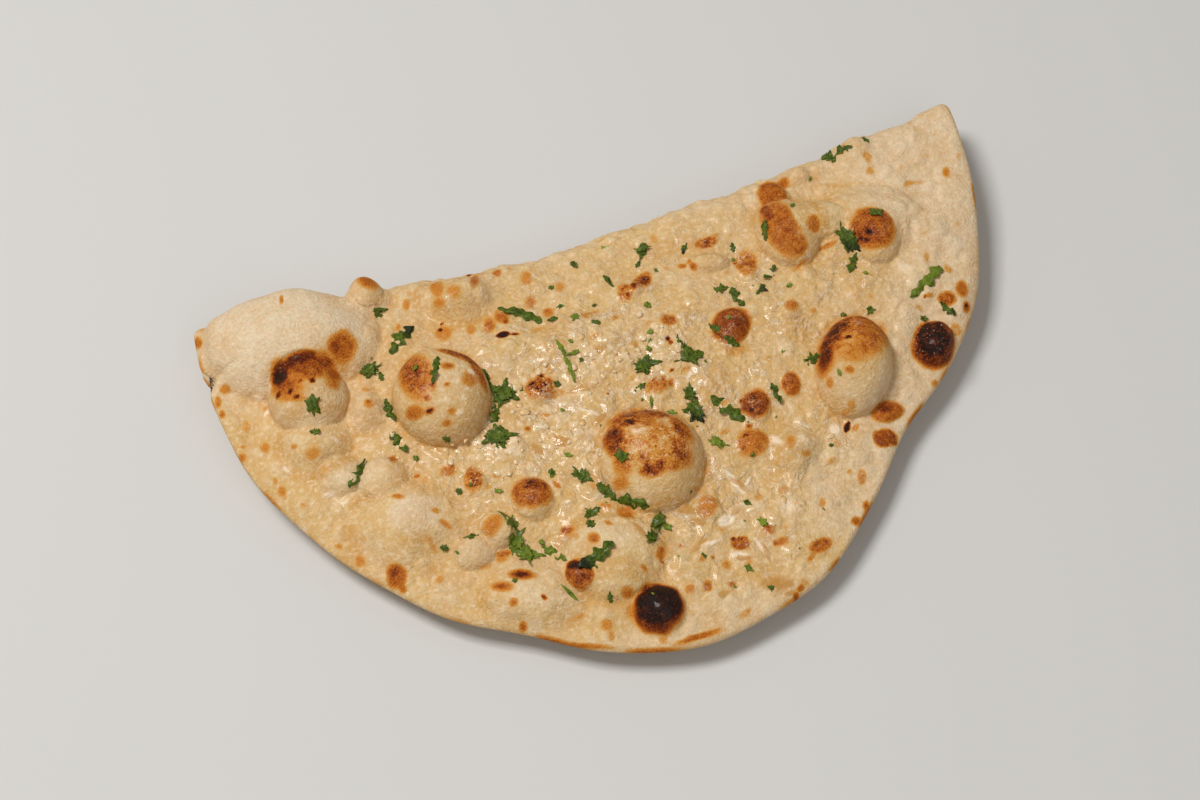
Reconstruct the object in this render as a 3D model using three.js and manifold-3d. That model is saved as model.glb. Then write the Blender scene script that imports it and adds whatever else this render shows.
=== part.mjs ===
// Garlic naan, baked as one flat bread and folded in two with its garlic side out.
// Millimetres, +Z up. X runs along the fold, the open rim faces -Y, and the bread lies on its under leaf.
// The dough is one sheet. A place on it is [along, round]: along the fold from its middle, and round from the
// back line of the fold, positive over the top leaf and negative over the under leaf.
import * as THREE from "three";
import { mergeVertices } from "three/addons/utils/BufferGeometryUtils.js";
import Module from "manifold-3d";

// Driving sizes of the folded sheet
const FOLD_HALF = 121; // middle of the fold to a corner
const TOP_REACH = 139.5; // back line of the fold to the front rim, over the top leaf
const UNDER_REACH = 129; // the same over the under leaf, which is a little shorter
const DOUGH = 3.6; // thickness of the baked dough
const THINNEST_DOUGH = 2.2; // where the outer face dips, the inner one makes way for it
const RIM_ROUND = 2.2; // the dough thins to a rounded edge over this distance
const FOLD_RADIUS_MIDDLE = 7.5; // of the dough's middle surface, at the middle of the fold
const FOLD_RADIUS_END = 3.6; // the same at the corners, where the fold is pressed flatter
const LEAF_SPACING = 4.7; // between the leaves' middle surfaces at the front rim
const FLOOR_TO_MIDDLE = 3.6; // floor to the under leaf's middle surface
const CORNER_SET_BACK = { left: 5.5, right: 7 }; // the corners stand further back than the fold's middle
const CORNER_LIFT = { left: 5, right: 8 }; // and higher
const CORNER_LIFT_REACH = 60; // how far forward of the fold that lift is felt
const CORNER_MARGIN = 0.03; // share of the rim's radius, which keeps the leaves a little open at the corners
const LEAN_LIMIT = 1.1; // of the top leaf's lean towards the under leaf, which is whole at 1
const BOX_MIDDLE = [0.46, -62.96]; // middle of the finished bread's box, which becomes the origin

// Both leaves' rims depart from an ellipse: a dent or a bulge at an angle from the fold's right end
const RIM_SHAPES = [
  { name: "flat right shoulder", angle: 57, spread: 19, out: -13.4 },
  { name: "shallow front left dip", angle: 112, spread: 9, out: -2.4 },
  { name: "full left side", angle: 153, spread: 13, out: 3.2 },
  { name: "notch by the left corner", angle: 170.4, spread: 1.3, out: -3.4 },
  { name: "left tip, drawn in", angle: 180, spread: 6, out: -2 },
];
const RIM_RIPPLES = [
  { count: 11, size: 0.5, phase: 1 },
  { count: 23, size: 0.35, phase: 2 },
];

// Broad rises and dips of the top leaf
const SWELLS = [
  { name: "sag of the fold", at: [-8, 8], half: [46, 15], height: -4, turn: 0 },
  { name: "sag of the fold, right", at: [74, 8], half: [26, 12], height: -1.4, turn: 0 },
  { name: "trough in front of the fold", at: [-8, 25], half: [46, 8], height: -1.8, turn: 4 },
  { name: "ridge in front of the trough", at: [-14, 41], half: [50, 10], height: 1.6, turn: 4 },
  { name: "trough behind the right plateau", at: [72, 18], half: [17, 6], height: -1.6, turn: 0 },
  { name: "dip inside the left notch", at: [-110, 34], half: [10, 10], height: -1.5, turn: 30 },
  { name: "right side, blown up a little", at: [96, 52], half: [20, 24], height: 1.2, turn: -20 },
  { name: "dip between the big blisters", at: [28, 98], half: [26, 18], height: -1, turn: 0 },
];
const UNDULATIONS = [
  { along: 0.21, round: 0.07, phase: 0.4, size: 0.32 },
  { along: -0.09, round: 0.24, phase: 1.9, size: 0.32 },
  { along: 0.31, round: 0.27, phase: 3.1, size: 0.22 },
  { along: 0.4, round: -0.17, phase: 5.2, size: 0.2 },
];

// Blisters of the top leaf. A full one is the cap of a ball, the others rise softly.
const BLISTERS = [
  { name: "smooth left corner bubble", at: [-93, 15.5], half: [27, 18], height: 11, turn: 8, full: true },
  { name: "tall burnt left blister", at: [-93, 34.5], half: [11.8, 11.8], height: 10.5, turn: 0, full: true },
  { name: "its low front foot", at: [-95, 49], half: [11, 10], height: 6, turn: 0, full: false },
  { name: "small one between the left two", at: [-78, 43], half: [6, 8], height: 4.6, turn: 0, full: false },
  { name: "left balloon", at: [-56.5, 46.5], half: [14.3, 15.5], height: 14, turn: 0, full: true },
  { name: "pale bump, left", at: [-91, 60], half: [7, 6.5], height: 3.8, turn: 0, full: true },
  { name: "pale bump, right", at: [-80, 65], half: [7.5, 7], height: 3.8, turn: 0, full: true },
  { name: "centre balloon", at: [-5.5, 83.5], half: [15.6, 16], height: 11, turn: 0, full: true },
  { name: "right balloon", at: [60.5, 74], half: [11.6, 16], height: 11.5, turn: 30, full: true },
  { name: "brown shell by the fold", at: [58, 26.5], half: [10, 12.5], height: 8, turn: 0, full: true },
  { name: "its pale right face", at: [67.5, 25.5], half: [9, 8], height: 6.4, turn: 20, full: true },
  { name: "right plateau", at: [81, 31], half: [18.5, 13.5], height: 4, turn: 20, full: true },
  { name: "brown dome on the plateau", at: [82, 38], half: [7.6, 8.6], height: 5.8, turn: 0, full: true },
  { name: "brown blister on the fold", at: [59, 13.5], half: [5, 5], height: 2.5, turn: 0, full: true },
  { name: "thumb behind the fold", at: [-67, 6.5], half: [4.8, 4.8], height: 5.4, turn: 0, full: true },
  { name: "foot of the thumb", at: [-68, 7.5], half: [8.5, 7], height: 5.2, turn: 0, full: false },
  { name: "bump on the fold, left", at: [-42, 15], half: [12, 9], height: 6.5, turn: 12, full: false },
  { name: "bump behind the fold, right", at: [86, 5], half: [9, 7], height: 1.8, turn: 0, full: false },
  { name: "knob on the fold, right", at: [69, 8], half: [3.6, 3.6], height: 2.2, turn: 0, full: false },
  { name: "glossy brown blister", at: [30.5, 50.5], half: [5.8, 6], height: 3, turn: 0, full: true },
  { name: "brown blister, front left", at: [-41.5, 84], half: [6.4, 6.8], height: 4, turn: 0, full: true },
  { name: "charred front blister", at: [-18, 126], half: [7.7, 7.5], height: 4.5, turn: 0, full: true },
  { name: "charred right blister", at: [87.5, 75], half: [6.2, 7.4], height: 5, turn: 0, full: true },
  { name: "brown blister, right", at: [29, 77], half: [4.6, 4.8], height: 2.2, turn: 0, full: true },
  { name: "orange blister by it", at: [24, 88], half: [5.8, 5.6], height: 2.2, turn: 0, full: false },
  { name: "pale blister, right", at: [35, 93], half: [8.5, 8], height: 3.4, turn: 0, full: false },
  { name: "small oval by the right balloon", at: [41, 74], half: [2.8, 4], height: 1.4, turn: 0, full: true },
  { name: "speckled blister, left", at: [-29, 53], half: [4.6, 4.4], height: 1.8, turn: 0, full: true },
  { name: "pale front dome", at: [-25.5, 107.5], half: [15.5, 13], height: 6, turn: 10, full: true },
  { name: "brown blister on its flank", at: [-36, 110], half: [4.2, 4.8], height: 4.4, turn: 0, full: true },
  { name: "front left swelling", at: [-54, 90], half: [5.2, 5.6], height: 4.6, turn: 0, full: true },
  { name: "its lower lobe", at: [-62, 94], half: [6.6, 5.4], height: 3.6, turn: 0, full: true },
  { name: "front left mound", at: [-50, 111.5], half: [15, 12], height: 5, turn: 10, full: false },
  { name: "its left shoulder", at: [-60, 108], half: [6, 5], height: 2, turn: 0, full: false },
  { name: "soft swelling, left", at: [-77, 81], half: [17, 14], height: 5.6, turn: 15, full: false },
  { name: "ring blister by the front", at: [5.5, 102], half: [4, 5], height: 1.6, turn: 0, full: true },
  { name: "torn bubble by the fold", at: [32, 28], half: [7, 3.6], height: 3, turn: 15, full: true },
  { name: "brown blister beside", at: [41.5, 34.5], half: [4.4, 4.4], height: 1.8, turn: 0, full: true },
  { name: "dark ridge by the fold", at: [8, 29], half: [8, 5], height: 2.4, turn: 12, full: false },
  { name: "small one in the middle", at: [4, 63], half: [4.4, 4], height: 1.4, turn: 0, full: true },
  { name: "small one, right", at: [49.5, 51.5], half: [3.4, 3.4], height: 1.3, turn: 0, full: true },
  { name: "small one, far left", at: [-56, 74.5], half: [4.4, 4.4], height: 1.8, turn: 0, full: true },
  { name: "swelling, far right", at: [98, 42], half: [8, 8], height: 1.8, turn: 0, full: false },
  { name: "brown one by the right rim", at: [66, 90], half: [4.4, 3.2], height: 1.6, turn: -10, full: true },
  { name: "smaller one in front of it", at: [62, 98], half: [3.4, 3.2], height: 1.4, turn: 0, full: true },
];

const SOFT_POWER = 1.6; // the higher, the gentler the foot of a soft blister
const BLISTER_FADE = 6; // blisters fade out over this distance from the rim

// Low blisters of the under leaf, laid out by an even scatter, on which the bread rests
const UNDER_BLISTER_COUNT = 26;
const UNDER_BLISTER_HALF = [9, 15];
const UNDER_BLISTER_HEIGHT = [2.2, 3.6];
const UNDER_MARGIN = 0.9; // share of the rim's radius that they keep within
const UNDER_SET_FORWARD = 15; // from the back of the fold, so that they lie under the leaf
const UNDER_NARROWNESS = 0.85; // width over length
const UNDER_TURN_STEP = 40; // degrees from one to the next

// Chopped coriander: broad torn leaves, and narrow strands and stems
const LEAVES = [
  { at: [-73.5, 31], size: [8.4, 5.8], turn: 10 },
  { at: [-92.5, 39], size: [5.6, 4], turn: 95 },
  { at: [-62, 23.5], size: [12, 4.4], turn: -41 },
  { at: [-39, 50.5], size: [11, 8.4], turn: -12 },
  { at: [-45, 63], size: [11.4, 7], turn: 9 },
  { at: [-11.5, 33], size: [4.2, 3.4], turn: 53 },
  { at: [15.5, 16], size: [9, 3.8], turn: 118 },
  { at: [16, 56], size: [13, 5.6], turn: 11 },
  { at: [2.5, 54.5], size: [9, 6.4], turn: 3 },
  { at: [43, 41.5], size: [5.6, 5], turn: 51 },
  { at: [74, 36.4], size: [11, 7], turn: 70 },
  { at: [83.5, 33], size: [5, 4.6], turn: -7 },
  { at: [50, 68.5], size: [6, 4.8], turn: 24 },
  { at: [12, 67], size: [6.4, 4.4], turn: 97 },
  { at: [11.5, 73], size: [9, 6.4], turn: 82 },
  { at: [14.5, 84], size: [7, 3.4], turn: 30 },
  { at: [-13, 82.5], size: [4.8, 3.8], turn: 54 },
  { at: [-10, 101.5], size: [7.6, 4.4], turn: 127 },
  { at: [-27, 93.5], size: [7, 3.4], turn: -16 },
  { at: [-50, 89.5], size: [8, 4.4], turn: 49 },
  { at: [-50, 94.5], size: [9.6, 4.8], turn: 128 },
  { at: [-48, 99], size: [11, 5], turn: 27 },
  { at: [-30, 107.5], size: [11.4, 4], turn: 161 },
  { at: [-26, 81.5], size: [9, 4.2], turn: 55 },
  { at: [-14, 106], size: [6.4, 3.8], turn: 135 },
  { at: [35.5, 42], size: [7.4, 3.4], turn: 76 },
];
const STRANDS = [
  { at: [-25.5, 26], size: [15, 3], turn: 41, bend: 14 },
  { at: [-18.5, 49.5], size: [8, 1.8], turn: 87, bend: 10 },
  { at: [-16.5, 43.5], size: [8, 1.8], turn: 70, bend: 0 },
  { at: [-72, 45.5], size: [8, 2.2], turn: 84, bend: -14 },
  { at: [-72, 56], size: [7.4, 2.6], turn: 68, bend: 10 },
  { at: [-86, 61.5], size: [10, 2.7], turn: 133, bend: 8 },
  { at: [91, 56.5], size: [14, 3.2], turn: 152, bend: 8 },
  { at: [36, 75], size: [6.6, 1.8], turn: 83, bend: 14 },
  { at: [21, 75.5], size: [13.5, 3.4], turn: 56, bend: -8 },
  { at: [-40.5, 101.5], size: [9, 2.4], turn: 50, bend: 0 },
  { at: [84, 6], size: [7, 2], turn: 20, bend: 12 },
  { at: [-56.5, 44.5], size: [6, 1.4], turn: 117, bend: 0 },
];
const LEAF_LOBES = 5;
const LEAF_WAIST = 0.6; // radius between two lobes, as a share of the leaf's
const STRAND_STEPS = 5;
const STRAND_TIP = 0.15; // the square of a strand's width at its tips, as a share of the width at its middle
const HERB_THICK = 1.1;
const HERB_SHOWS = 0.55; // how far a herb's upper face stands proud of the bread
const HERB_WAVE = 0.3;
const HERB_WAVE_LENGTH = 5;

// The larger bits of minced garlic, in an even scatter over the buttered middle
const GARLIC_COUNT = 64;
const GARLIC_FIELD = { along: [-66, 56], round: [30, 130] };
const GARLIC_HALF = [1.2, 2]; // half the length of a bit
const GARLIC_FLATNESS = [0.75, 0.6]; // width and height of a bit, as shares of its length
const GARLIC_SHOWS = 0.1; // how far the middle of a bit stands above the crust, as a share of its half length
const GARLIC_CLEAR_HEIGHT = 4.5; // none stays on a bump higher than this
const GARLIC_RIM_MARGIN = 0.94;

// Facets
const RING_COUNT = 29;
const TOP_FACET = 4.4; // length of a facet along a ring
const UNDER_FACET = 9.5;
const INNER_RING_COUNT = 11;
const INNER_FACET = 11;
const RIM_RINGS = [0.5, 2]; // distances in from the rim of the rings that round the edge
const RIM_RINGS_END = 5; // and of the first of the even rings
const FEWEST_IN_RING = 3; // points on each leaf
const SLOPE_STEP = 0.4; // for the surface's direction, by differences
const SMALLEST_SHARE = 1e-6; // keeps the middle of a blister from a division by nothing

const BREAD_COLOUR = 0xe6c99a;

const radians = THREE.MathUtils.degToRad;
const { clamp, lerp, smoothstep } = THREE.MathUtils;

// Even scatter of places in the unit square: the same ones each time, with no two close together
function scatter(index) {
  const alongStep = 0.7548776662;
  const roundStep = 0.569840291;
  return [(0.5 + index * alongStep) % 1, (0.5 + index * roundStep) % 1];
}

// Distance from the middle of the fold to the rim, in a direction on the sheet
function rimRadius(angle) {
  const reach = Math.sin(angle) >= 0 ? TOP_REACH : UNDER_REACH;
  let radius = 1 / Math.hypot(Math.cos(angle) / FOLD_HALF, Math.sin(angle) / reach);
  for (const shape of RIM_SHAPES) {
    const away = (Math.abs(angle) - radians(shape.angle)) / radians(shape.spread);
    radius += shape.out * Math.exp(-away * away);
  }
  for (const ripple of RIM_RIPPLES) {
    const fade = Math.abs(Math.sin(angle)); // leaves the corners sharp
    radius += ripple.size * fade * Math.sin(ripple.count * angle + ripple.phase);
  }
  return radius;
}

// A place's distance from the middle of the fold, as a share of the rim's in the same direction
function shareOfRim(along, round) {
  return Math.hypot(along, round) / rimRadius(Math.atan2(round, along));
}

// The dough's middle surface
function middleSurface(along, round) {
  const share = along / FOLD_HALF;
  const radius = lerp(FOLD_RADIUS_MIDDLE, FOLD_RADIUS_END, Math.min(share * share, 1));
  const quarterTurn = (radius * Math.PI) / 2;
  const turn = clamp(round / radius, -Math.PI / 2, Math.PI / 2);
  const past = Math.max(Math.abs(round) - quarterTurn, 0);
  const forward = radius * (1 - Math.cos(turn)) + past;
  let height = FLOOR_TO_MIDDLE + radius + radius * Math.sin(turn);
  if (round > quarterTurn) {
    const start = Math.min(shareOfRim(along, quarterTurn), 1);
    const lean = clamp((shareOfRim(along, round) - start) / (1 - start + CORNER_MARGIN), 0, LEAN_LIMIT);
    height -= (2 * radius - LEAF_SPACING) * lean * lean;
  }
  const side = along > 0 ? "right" : "left";
  height += CORNER_LIFT[side] * Math.abs(share) ** 3 * Math.exp(-((forward / CORNER_LIFT_REACH) ** 2));
  return new THREE.Vector3(along, CORNER_SET_BACK[side] * share * share - forward, height);
}

// Direction out of the dough: up on the top leaf, back on the fold, down on the under leaf
function outward(along, round) {
  const sideways = middleSurface(along + SLOPE_STEP, round).sub(middleSurface(along - SLOPE_STEP, round));
  const onward = middleSurface(along, round + SLOPE_STEP).sub(middleSurface(along, round - SLOPE_STEP));
  return onward.cross(sideways).normalize();
}

// How far a place is from the middle of a rise, as a share of its half sizes
function shareOfHalf(rise, along, round) {
  const turn = radians(rise.turn);
  const dx = along - rise.at[0];
  const dy = round - rise.at[1];
  const lengthwise = dx * Math.cos(turn) + dy * Math.sin(turn);
  const across = dy * Math.cos(turn) - dx * Math.sin(turn);
  return Math.hypot(lengthwise / rise.half[0], across / rise.half[1]);
}

// A soft blister's height at a place
function softHeight(blister, along, round) {
  const share = Math.min(shareOfHalf(blister, along, round), 1);
  return blister.height * (1 - share ** 2) ** SOFT_POWER;
}

// A full blister's height at a place, and how many times further from its middle the skin there has spread
function fullHeight(blister, along, round) {
  const share = shareOfHalf(blister, along, round);
  if (share >= 1) return { height: 0, spread: 1 };
  const foot = 2 * Math.atan2(2 * blister.height, blister.half[0] + blister.half[1]);
  const height = (blister.height * (Math.cos(foot * share) - Math.cos(foot))) / (1 - Math.cos(foot));
  const near = Math.max(share, SMALLEST_SHARE);
  return { height, spread: Math.sin(foot * near) / Math.sin(foot) / near };
}

function swellHeight(swell, along, round) {
  const share = shareOfHalf(swell, along, round);
  return swell.height * Math.exp(-share * share);
}

function underBlisters() {
  return Array.from({ length: UNDER_BLISTER_COUNT }, (_, index) => {
    const [first, second, third, fourth] = [...scatter(index), ...scatter(index + UNDER_BLISTER_COUNT)];
    const angle = -Math.PI * first;
    const radius = UNDER_MARGIN * rimRadius(angle) * Math.sqrt(second);
    const size = lerp(...UNDER_BLISTER_HALF, third);
    const height = lerp(...UNDER_BLISTER_HEIGHT, fourth);
    const at = [radius * Math.cos(angle), radius * Math.sin(angle) - UNDER_SET_FORWARD];
    const half = [size, size * UNDER_NARROWNESS];
    return { at, half, height, turn: UNDER_TURN_STEP * index, full: false };
  });
}
const UNDER_BLISTERS = underBlisters();

// Where the skin at a place goes as the blisters are blown up. Blisters that meet blend into each other.
function blow(along, round) {
  const blown = { along, round, height: 0 };
  let cubes = 0;
  for (const blister of [...BLISTERS, ...UNDER_BLISTERS]) {
    if (blister.full) {
      const { height, spread } = fullHeight(blister, blown.along, blown.round);
      cubes += height ** 3;
      blown.along = lerp(blister.at[0], blown.along, spread);
      blown.round = lerp(blister.at[1], blown.round, spread);
    } else {
      cubes += softHeight(blister, blown.along, blown.round) ** 3;
    }
  }
  blown.height = Math.cbrt(cubes);
  for (const swell of SWELLS) blown.height += swellHeight(swell, blown.along, blown.round);
  for (const wave of UNDULATIONS) {
    blown.height += wave.size * Math.sin(wave.along * blown.along + wave.round * blown.round + wave.phase);
  }
  return blown;
}

// A place on the dough's outer face (side 1) or inner face (side -1), which follows the outer one's dips
function doughPoint(angle, share, side) {
  const radius = rimRadius(angle);
  let along = share * radius * Math.cos(angle);
  let round = share * radius * Math.sin(angle);
  const fromRim = (1 - share) * radius;
  const thinning = 1 - Math.min(fromRim / RIM_ROUND, 1);
  let offset = (DOUGH / 2) * Math.sqrt(1 - thinning * thinning);
  const fade = smoothstep(fromRim, 0, BLISTER_FADE);
  const blown = blow(along, round);
  if (side > 0) {
    along = lerp(along, blown.along, fade);
    round = lerp(round, blown.round, fade);
    offset += blown.height * fade;
  } else {
    offset += Math.max(THINNEST_DOUGH - DOUGH - blown.height, 0) * fade;
  }
  const point = middleSurface(along, round).addScaledVector(outward(along, round), side * offset);
  point.z = Math.max(point.z, 0);
  return point;
}

// A place on the outer face given in sheet distances, raised above it
function onCrust(along, round, raised) {
  const share = Math.min(shareOfRim(along, round), 1);
  const point = doughPoint(Math.atan2(round, along), share, 1);
  return point.addScaledVector(outward(along, round), raised);
}

// Shares of the rim's radius at which the rings of facets lie, from the rim in
function ringShares(count) {
  const shares = RIM_RINGS.map((distance) => 1 - distance / TOP_REACH);
  const first = 1 - RIM_RINGS_END / TOP_REACH;
  for (let ring = count; ring > 0; ring -= 1) shares.push((first * ring) / count);
  return shares;
}

// One face of the dough: rings of points from the rim in, each joined to the next by a band of facets
function addFace(points, facets, rim, shares, topFacet, underFacet, side) {
  let outer = rim;
  for (const share of shares) {
    const inner = addRing(points, share, topFacet, underFacet, side);
    addBand(facets, outer.top, inner.top, side);
    addBand(facets, outer.under, inner.under, side);
    outer = inner;
  }
  const centre = points.push(doughPoint(0, 0, side)) - 1;
  const middle = [centre];
  addBand(facets, outer.top, middle, side);
  addBand(facets, outer.under, middle, side);
}

// A ring of points, as two runs of indices: over the top leaf, and back under the lower one
function addRing(points, share, topFacet, underFacet, side) {
  const top = Math.max(FEWEST_IN_RING, Math.round((share * Math.PI * TOP_REACH) / topFacet));
  const under = Math.max(FEWEST_IN_RING, Math.round((share * Math.PI * UNDER_REACH) / underFacet));
  const first = points.length;
  for (let i = 0; i < top; i += 1) points.push(doughPoint((Math.PI * i) / top, share, side));
  for (let i = 0; i < under; i += 1) {
    points.push(doughPoint(-Math.PI + (Math.PI * i) / under, share, side));
  }
  const indices = Array.from({ length: top + under + 1 }, (_, i) => first + (i % (top + under)));
  return { top: indices.slice(0, top + 1), under: indices.slice(top) };
}

// Facets between two runs of points that start and end beside each other
function addBand(facets, outer, inner, side) {
  let i = 0;
  let j = 0;
  while (i < outer.length - 1 || j < inner.length - 1) {
    const stepOuter = (i + 0.5) * (inner.length - 1) <= (j + 0.5) * (outer.length - 1);
    const forward = j === inner.length - 1 || (i < outer.length - 1 && stepOuter);
    const facet = forward ? [outer[i], outer[i + 1], inner[j]] : [outer[i], inner[j + 1], inner[j]];
    if (side > 0) facet.reverse();
    facets.push(facet);
    if (forward) i += 1;
    else j += 1;
  }
}

function makeDough() {
  const points = [];
  const facets = [];
  const rim = addRing(points, 1, TOP_FACET, UNDER_FACET, 1);
  addFace(points, facets, rim, ringShares(RING_COUNT), TOP_FACET, UNDER_FACET, 1);
  addFace(points, facets, rim, ringShares(INNER_RING_COUNT), INNER_FACET, INNER_FACET, -1);
  return closedGeometry(points, facets);
}

function closedGeometry(points, facets) {
  const geometry = new THREE.BufferGeometry().setFromPoints(points);
  geometry.setIndex(facets.flat());
  return geometry;
}

// A torn leaf: lobes round a middle, in a fan of facets
function leafPattern() {
  const count = LEAF_LOBES * 2;
  const spots = [[0, 0]];
  const faces = [];
  for (let i = 0; i < count; i += 1) {
    const angle = (2 * Math.PI * i) / count;
    const radius = i % 2 ? LEAF_WAIST / 2 : 0.5;
    spots.push([radius * Math.cos(angle), radius * Math.sin(angle)]);
    faces.push([0, 1 + i, 1 + ((i + 1) % count)]);
  }
  return { spots, faces, edge: spots.map((_, i) => i).slice(1) };
}

// A strand: a strip that tapers to both ends, one length long and one width across
function strandPattern() {
  const near = [];
  const far = [];
  const spots = [];
  const faces = [];
  for (let i = 0; i <= STRAND_STEPS; i += 1) {
    const share = i / STRAND_STEPS;
    const half = 0.5 * Math.sqrt(Math.max(Math.sin(Math.PI * share), STRAND_TIP));
    near.push(spots.push([share - 0.5, -half]) - 1);
    far.push(spots.push([share - 0.5, half]) - 1);
    if (i > 0) faces.push([near[i - 1], near[i], far[i]], [near[i - 1], far[i], far[i - 1]]);
  }
  return { spots, faces, edge: [...near, ...far.reverse()] };
}

// A herb laid on the crust: its pattern at its size, bent and turned, with both faces split alike
function makeHerb(pattern, herb) {
  const turn = radians(herb.turn);
  const bend = radians(herb.bend ?? 0);
  const layers = [HERB_SHOWS, HERB_SHOWS - HERB_THICK];
  const points = layers.flatMap((raised) =>
    pattern.spots.map(([length, width]) => {
      const u = length * herb.size[0];
      const v = width * herb.size[1] + length * length * herb.size[0] * Math.sin(bend);
      const along = herb.at[0] + u * Math.cos(turn) - v * Math.sin(turn);
      const round = herb.at[1] + u * Math.sin(turn) + v * Math.cos(turn);
      const wave = HERB_WAVE * Math.sin((2 * Math.PI * u) / HERB_WAVE_LENGTH + herb.at[0]);
      return onCrust(along, round, raised + wave);
    }),
  );
  const below = pattern.spots.length;
  const facets = [];
  for (const [a, b, c] of pattern.faces) {
    facets.push([a, c, b], [a + below, b + below, c + below]);
  }
  pattern.edge.forEach((a, i) => {
    const b = pattern.edge[(i + 1) % pattern.edge.length];
    facets.push([a, b, b + below], [a, b + below, a + below]);
  });
  return closedGeometry(points, facets);
}

// A bit of garlic: a lump with a few flat sides, half sunk in the butter on the crust
function makeGarlic(index) {
  const [first, second] = scatter(index);
  const along = lerp(...GARLIC_FIELD.along, first);
  const round = lerp(...GARLIC_FIELD.round, second);
  if (shareOfRim(along, round) > GARLIC_RIM_MARGIN) return null;
  if (blow(along, round).height > GARLIC_CLEAR_HEIGHT) return null;
  const half = lerp(...GARLIC_HALF, scatter(index + GARLIC_COUNT)[1]);
  const lump = new THREE.IcosahedronGeometry(half);
  lump.scale(1, GARLIC_FLATNESS[0], GARLIC_FLATNESS[1]);
  lump.rotateZ(index);
  lump.translate(...onCrust(along, round, half * GARLIC_SHOWS));
  return lump;
}

const wasm = await Module();
wasm.setup();

// A closed geometry as a solid that can be joined
function solidFrom(geometry) {
  const bare = new THREE.BufferGeometry();
  bare.setAttribute("position", geometry.getAttribute("position"));
  bare.setIndex(geometry.index);
  const merged = mergeVertices(bare);
  return new wasm.Manifold(
    new wasm.Mesh({
      numProp: 3,
      vertProperties: merged.attributes.position.array,
      triVerts: new Uint32Array(merged.index.array),
    }),
  );
}

function geometryFrom(solid) {
  const mesh = solid.getMesh();
  const geometry = new THREE.BufferGeometry();
  geometry.setAttribute("position", new THREE.BufferAttribute(mesh.vertProperties, 3));
  geometry.setIndex(new THREE.BufferAttribute(mesh.triVerts, 1));
  return geometry;
}

// The bread with its herbs and garlic, as one body
function makeNaan() {
  let bread = solidFrom(makeDough());
  const leaf = leafPattern();
  const strand = strandPattern();
  const toppings = [
    ...LEAVES.map((herb) => makeHerb(leaf, herb)),
    ...STRANDS.map((herb) => makeHerb(strand, herb)),
    ...Array.from({ length: GARLIC_COUNT }, (_, index) => makeGarlic(index)),
  ];
  for (const topping of toppings) {
    if (topping) bread = bread.add(solidFrom(topping));
  }
  const [whole] = bread.decompose().sort((a, b) => b.volume() - a.volume());
  const geometry = geometryFrom(whole); // the pockets that toppings close off are filled
  geometry.translate(-BOX_MIDDLE[0], -BOX_MIDDLE[1], 0);
  geometry.computeVertexNormals();
  return geometry;
}

const crust = new THREE.MeshStandardMaterial({ color: BREAD_COLOUR, roughness: 0.75, metalness: 0 });
const naan = new THREE.Mesh(makeNaan(), crust);
naan.name = "naan";

const root = new THREE.Group();
root.add(naan);
export default root;
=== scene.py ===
"""A garlic naan folded in two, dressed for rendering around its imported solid.

Sizes are in millimetres, as in the part's source, and meshes are made in metres. The dough is one sheet. A
place on it is given along the fold from its middle, and over it from the fold's back line, more than 0 on
the top leaf and less on the under leaf. Along and over are arrays of such places.
"""

from __future__ import annotations

import logging
import math
import random
from dataclasses import asdict, dataclass, field, fields, replace
from enum import Enum

import bmesh
import bpy
import numpy as np
from mathutils import Matrix, Vector, noise

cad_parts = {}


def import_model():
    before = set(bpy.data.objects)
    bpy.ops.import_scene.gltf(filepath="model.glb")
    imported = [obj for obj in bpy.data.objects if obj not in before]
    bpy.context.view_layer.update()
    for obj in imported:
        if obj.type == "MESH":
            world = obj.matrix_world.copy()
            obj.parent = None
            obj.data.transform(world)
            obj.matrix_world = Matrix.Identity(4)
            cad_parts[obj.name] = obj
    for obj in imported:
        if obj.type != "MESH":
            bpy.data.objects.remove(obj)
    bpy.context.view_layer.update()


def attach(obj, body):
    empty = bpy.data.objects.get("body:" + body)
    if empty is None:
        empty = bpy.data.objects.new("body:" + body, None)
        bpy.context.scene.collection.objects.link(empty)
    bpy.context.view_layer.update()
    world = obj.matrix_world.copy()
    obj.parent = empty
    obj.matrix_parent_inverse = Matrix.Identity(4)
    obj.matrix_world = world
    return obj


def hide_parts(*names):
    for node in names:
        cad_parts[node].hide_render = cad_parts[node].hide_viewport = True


LOG = logging.getLogger("naan")
METRES = 0.001
SMALLEST = 1e-6
BODY = "root"
Array = np.ndarray
Socket = bpy.types.NodeSocket
Pair = tuple[float, float]
Triple = tuple[float, float, float]
Colour = tuple[float, float, float, float]


class Edge(Enum):
    """How a blister meets the dough round it."""

    FULL = "a balloon with steep sides"
    SOFT = "a low swelling with a gentle foot"


class Cut(Enum):
    """How a piece of coriander was cut."""

    LEAF = "a torn leaf with uneven lobes"
    SHRED = "a narrow shred of leaf with ragged edges"
    STEM = "a thin stem"


@dataclass(frozen=True)
class RimShape:
    """A bulge of the rim, or a dent if out is negative, at degrees round from the fold's right end."""

    name: str
    angle: float
    spread: float
    out: float


@dataclass(frozen=True)
class Rise:
    """A blister or swelling: its place, half sizes, height, turn in degrees and kind of edge."""

    name: str
    along: float
    over: float
    half_along: float
    half_over: float
    height: float
    turn: float = 0.0
    edge: Edge = Edge.SOFT


@dataclass(frozen=True)
class Spot:
    """A browned place on the crust: its place, half sizes, depth, turn, blur, grit and gloss.

    Depth runs from 0, cream, through 0.5, brown, to 1, charred. Grit is how thickly it's peppered with
    black and pale grains, and gloss how much it shines. Stains, many of which also paint shade, worn places
    and gleams, which are mostly painted highlights, are spots too.
    """

    along: float
    over: float
    half_along: float
    half_over: float
    depth: float
    turn: float = 0.0
    blur: float = 0.7
    grit: float = 0.0
    gloss: float = 0.0


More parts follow.
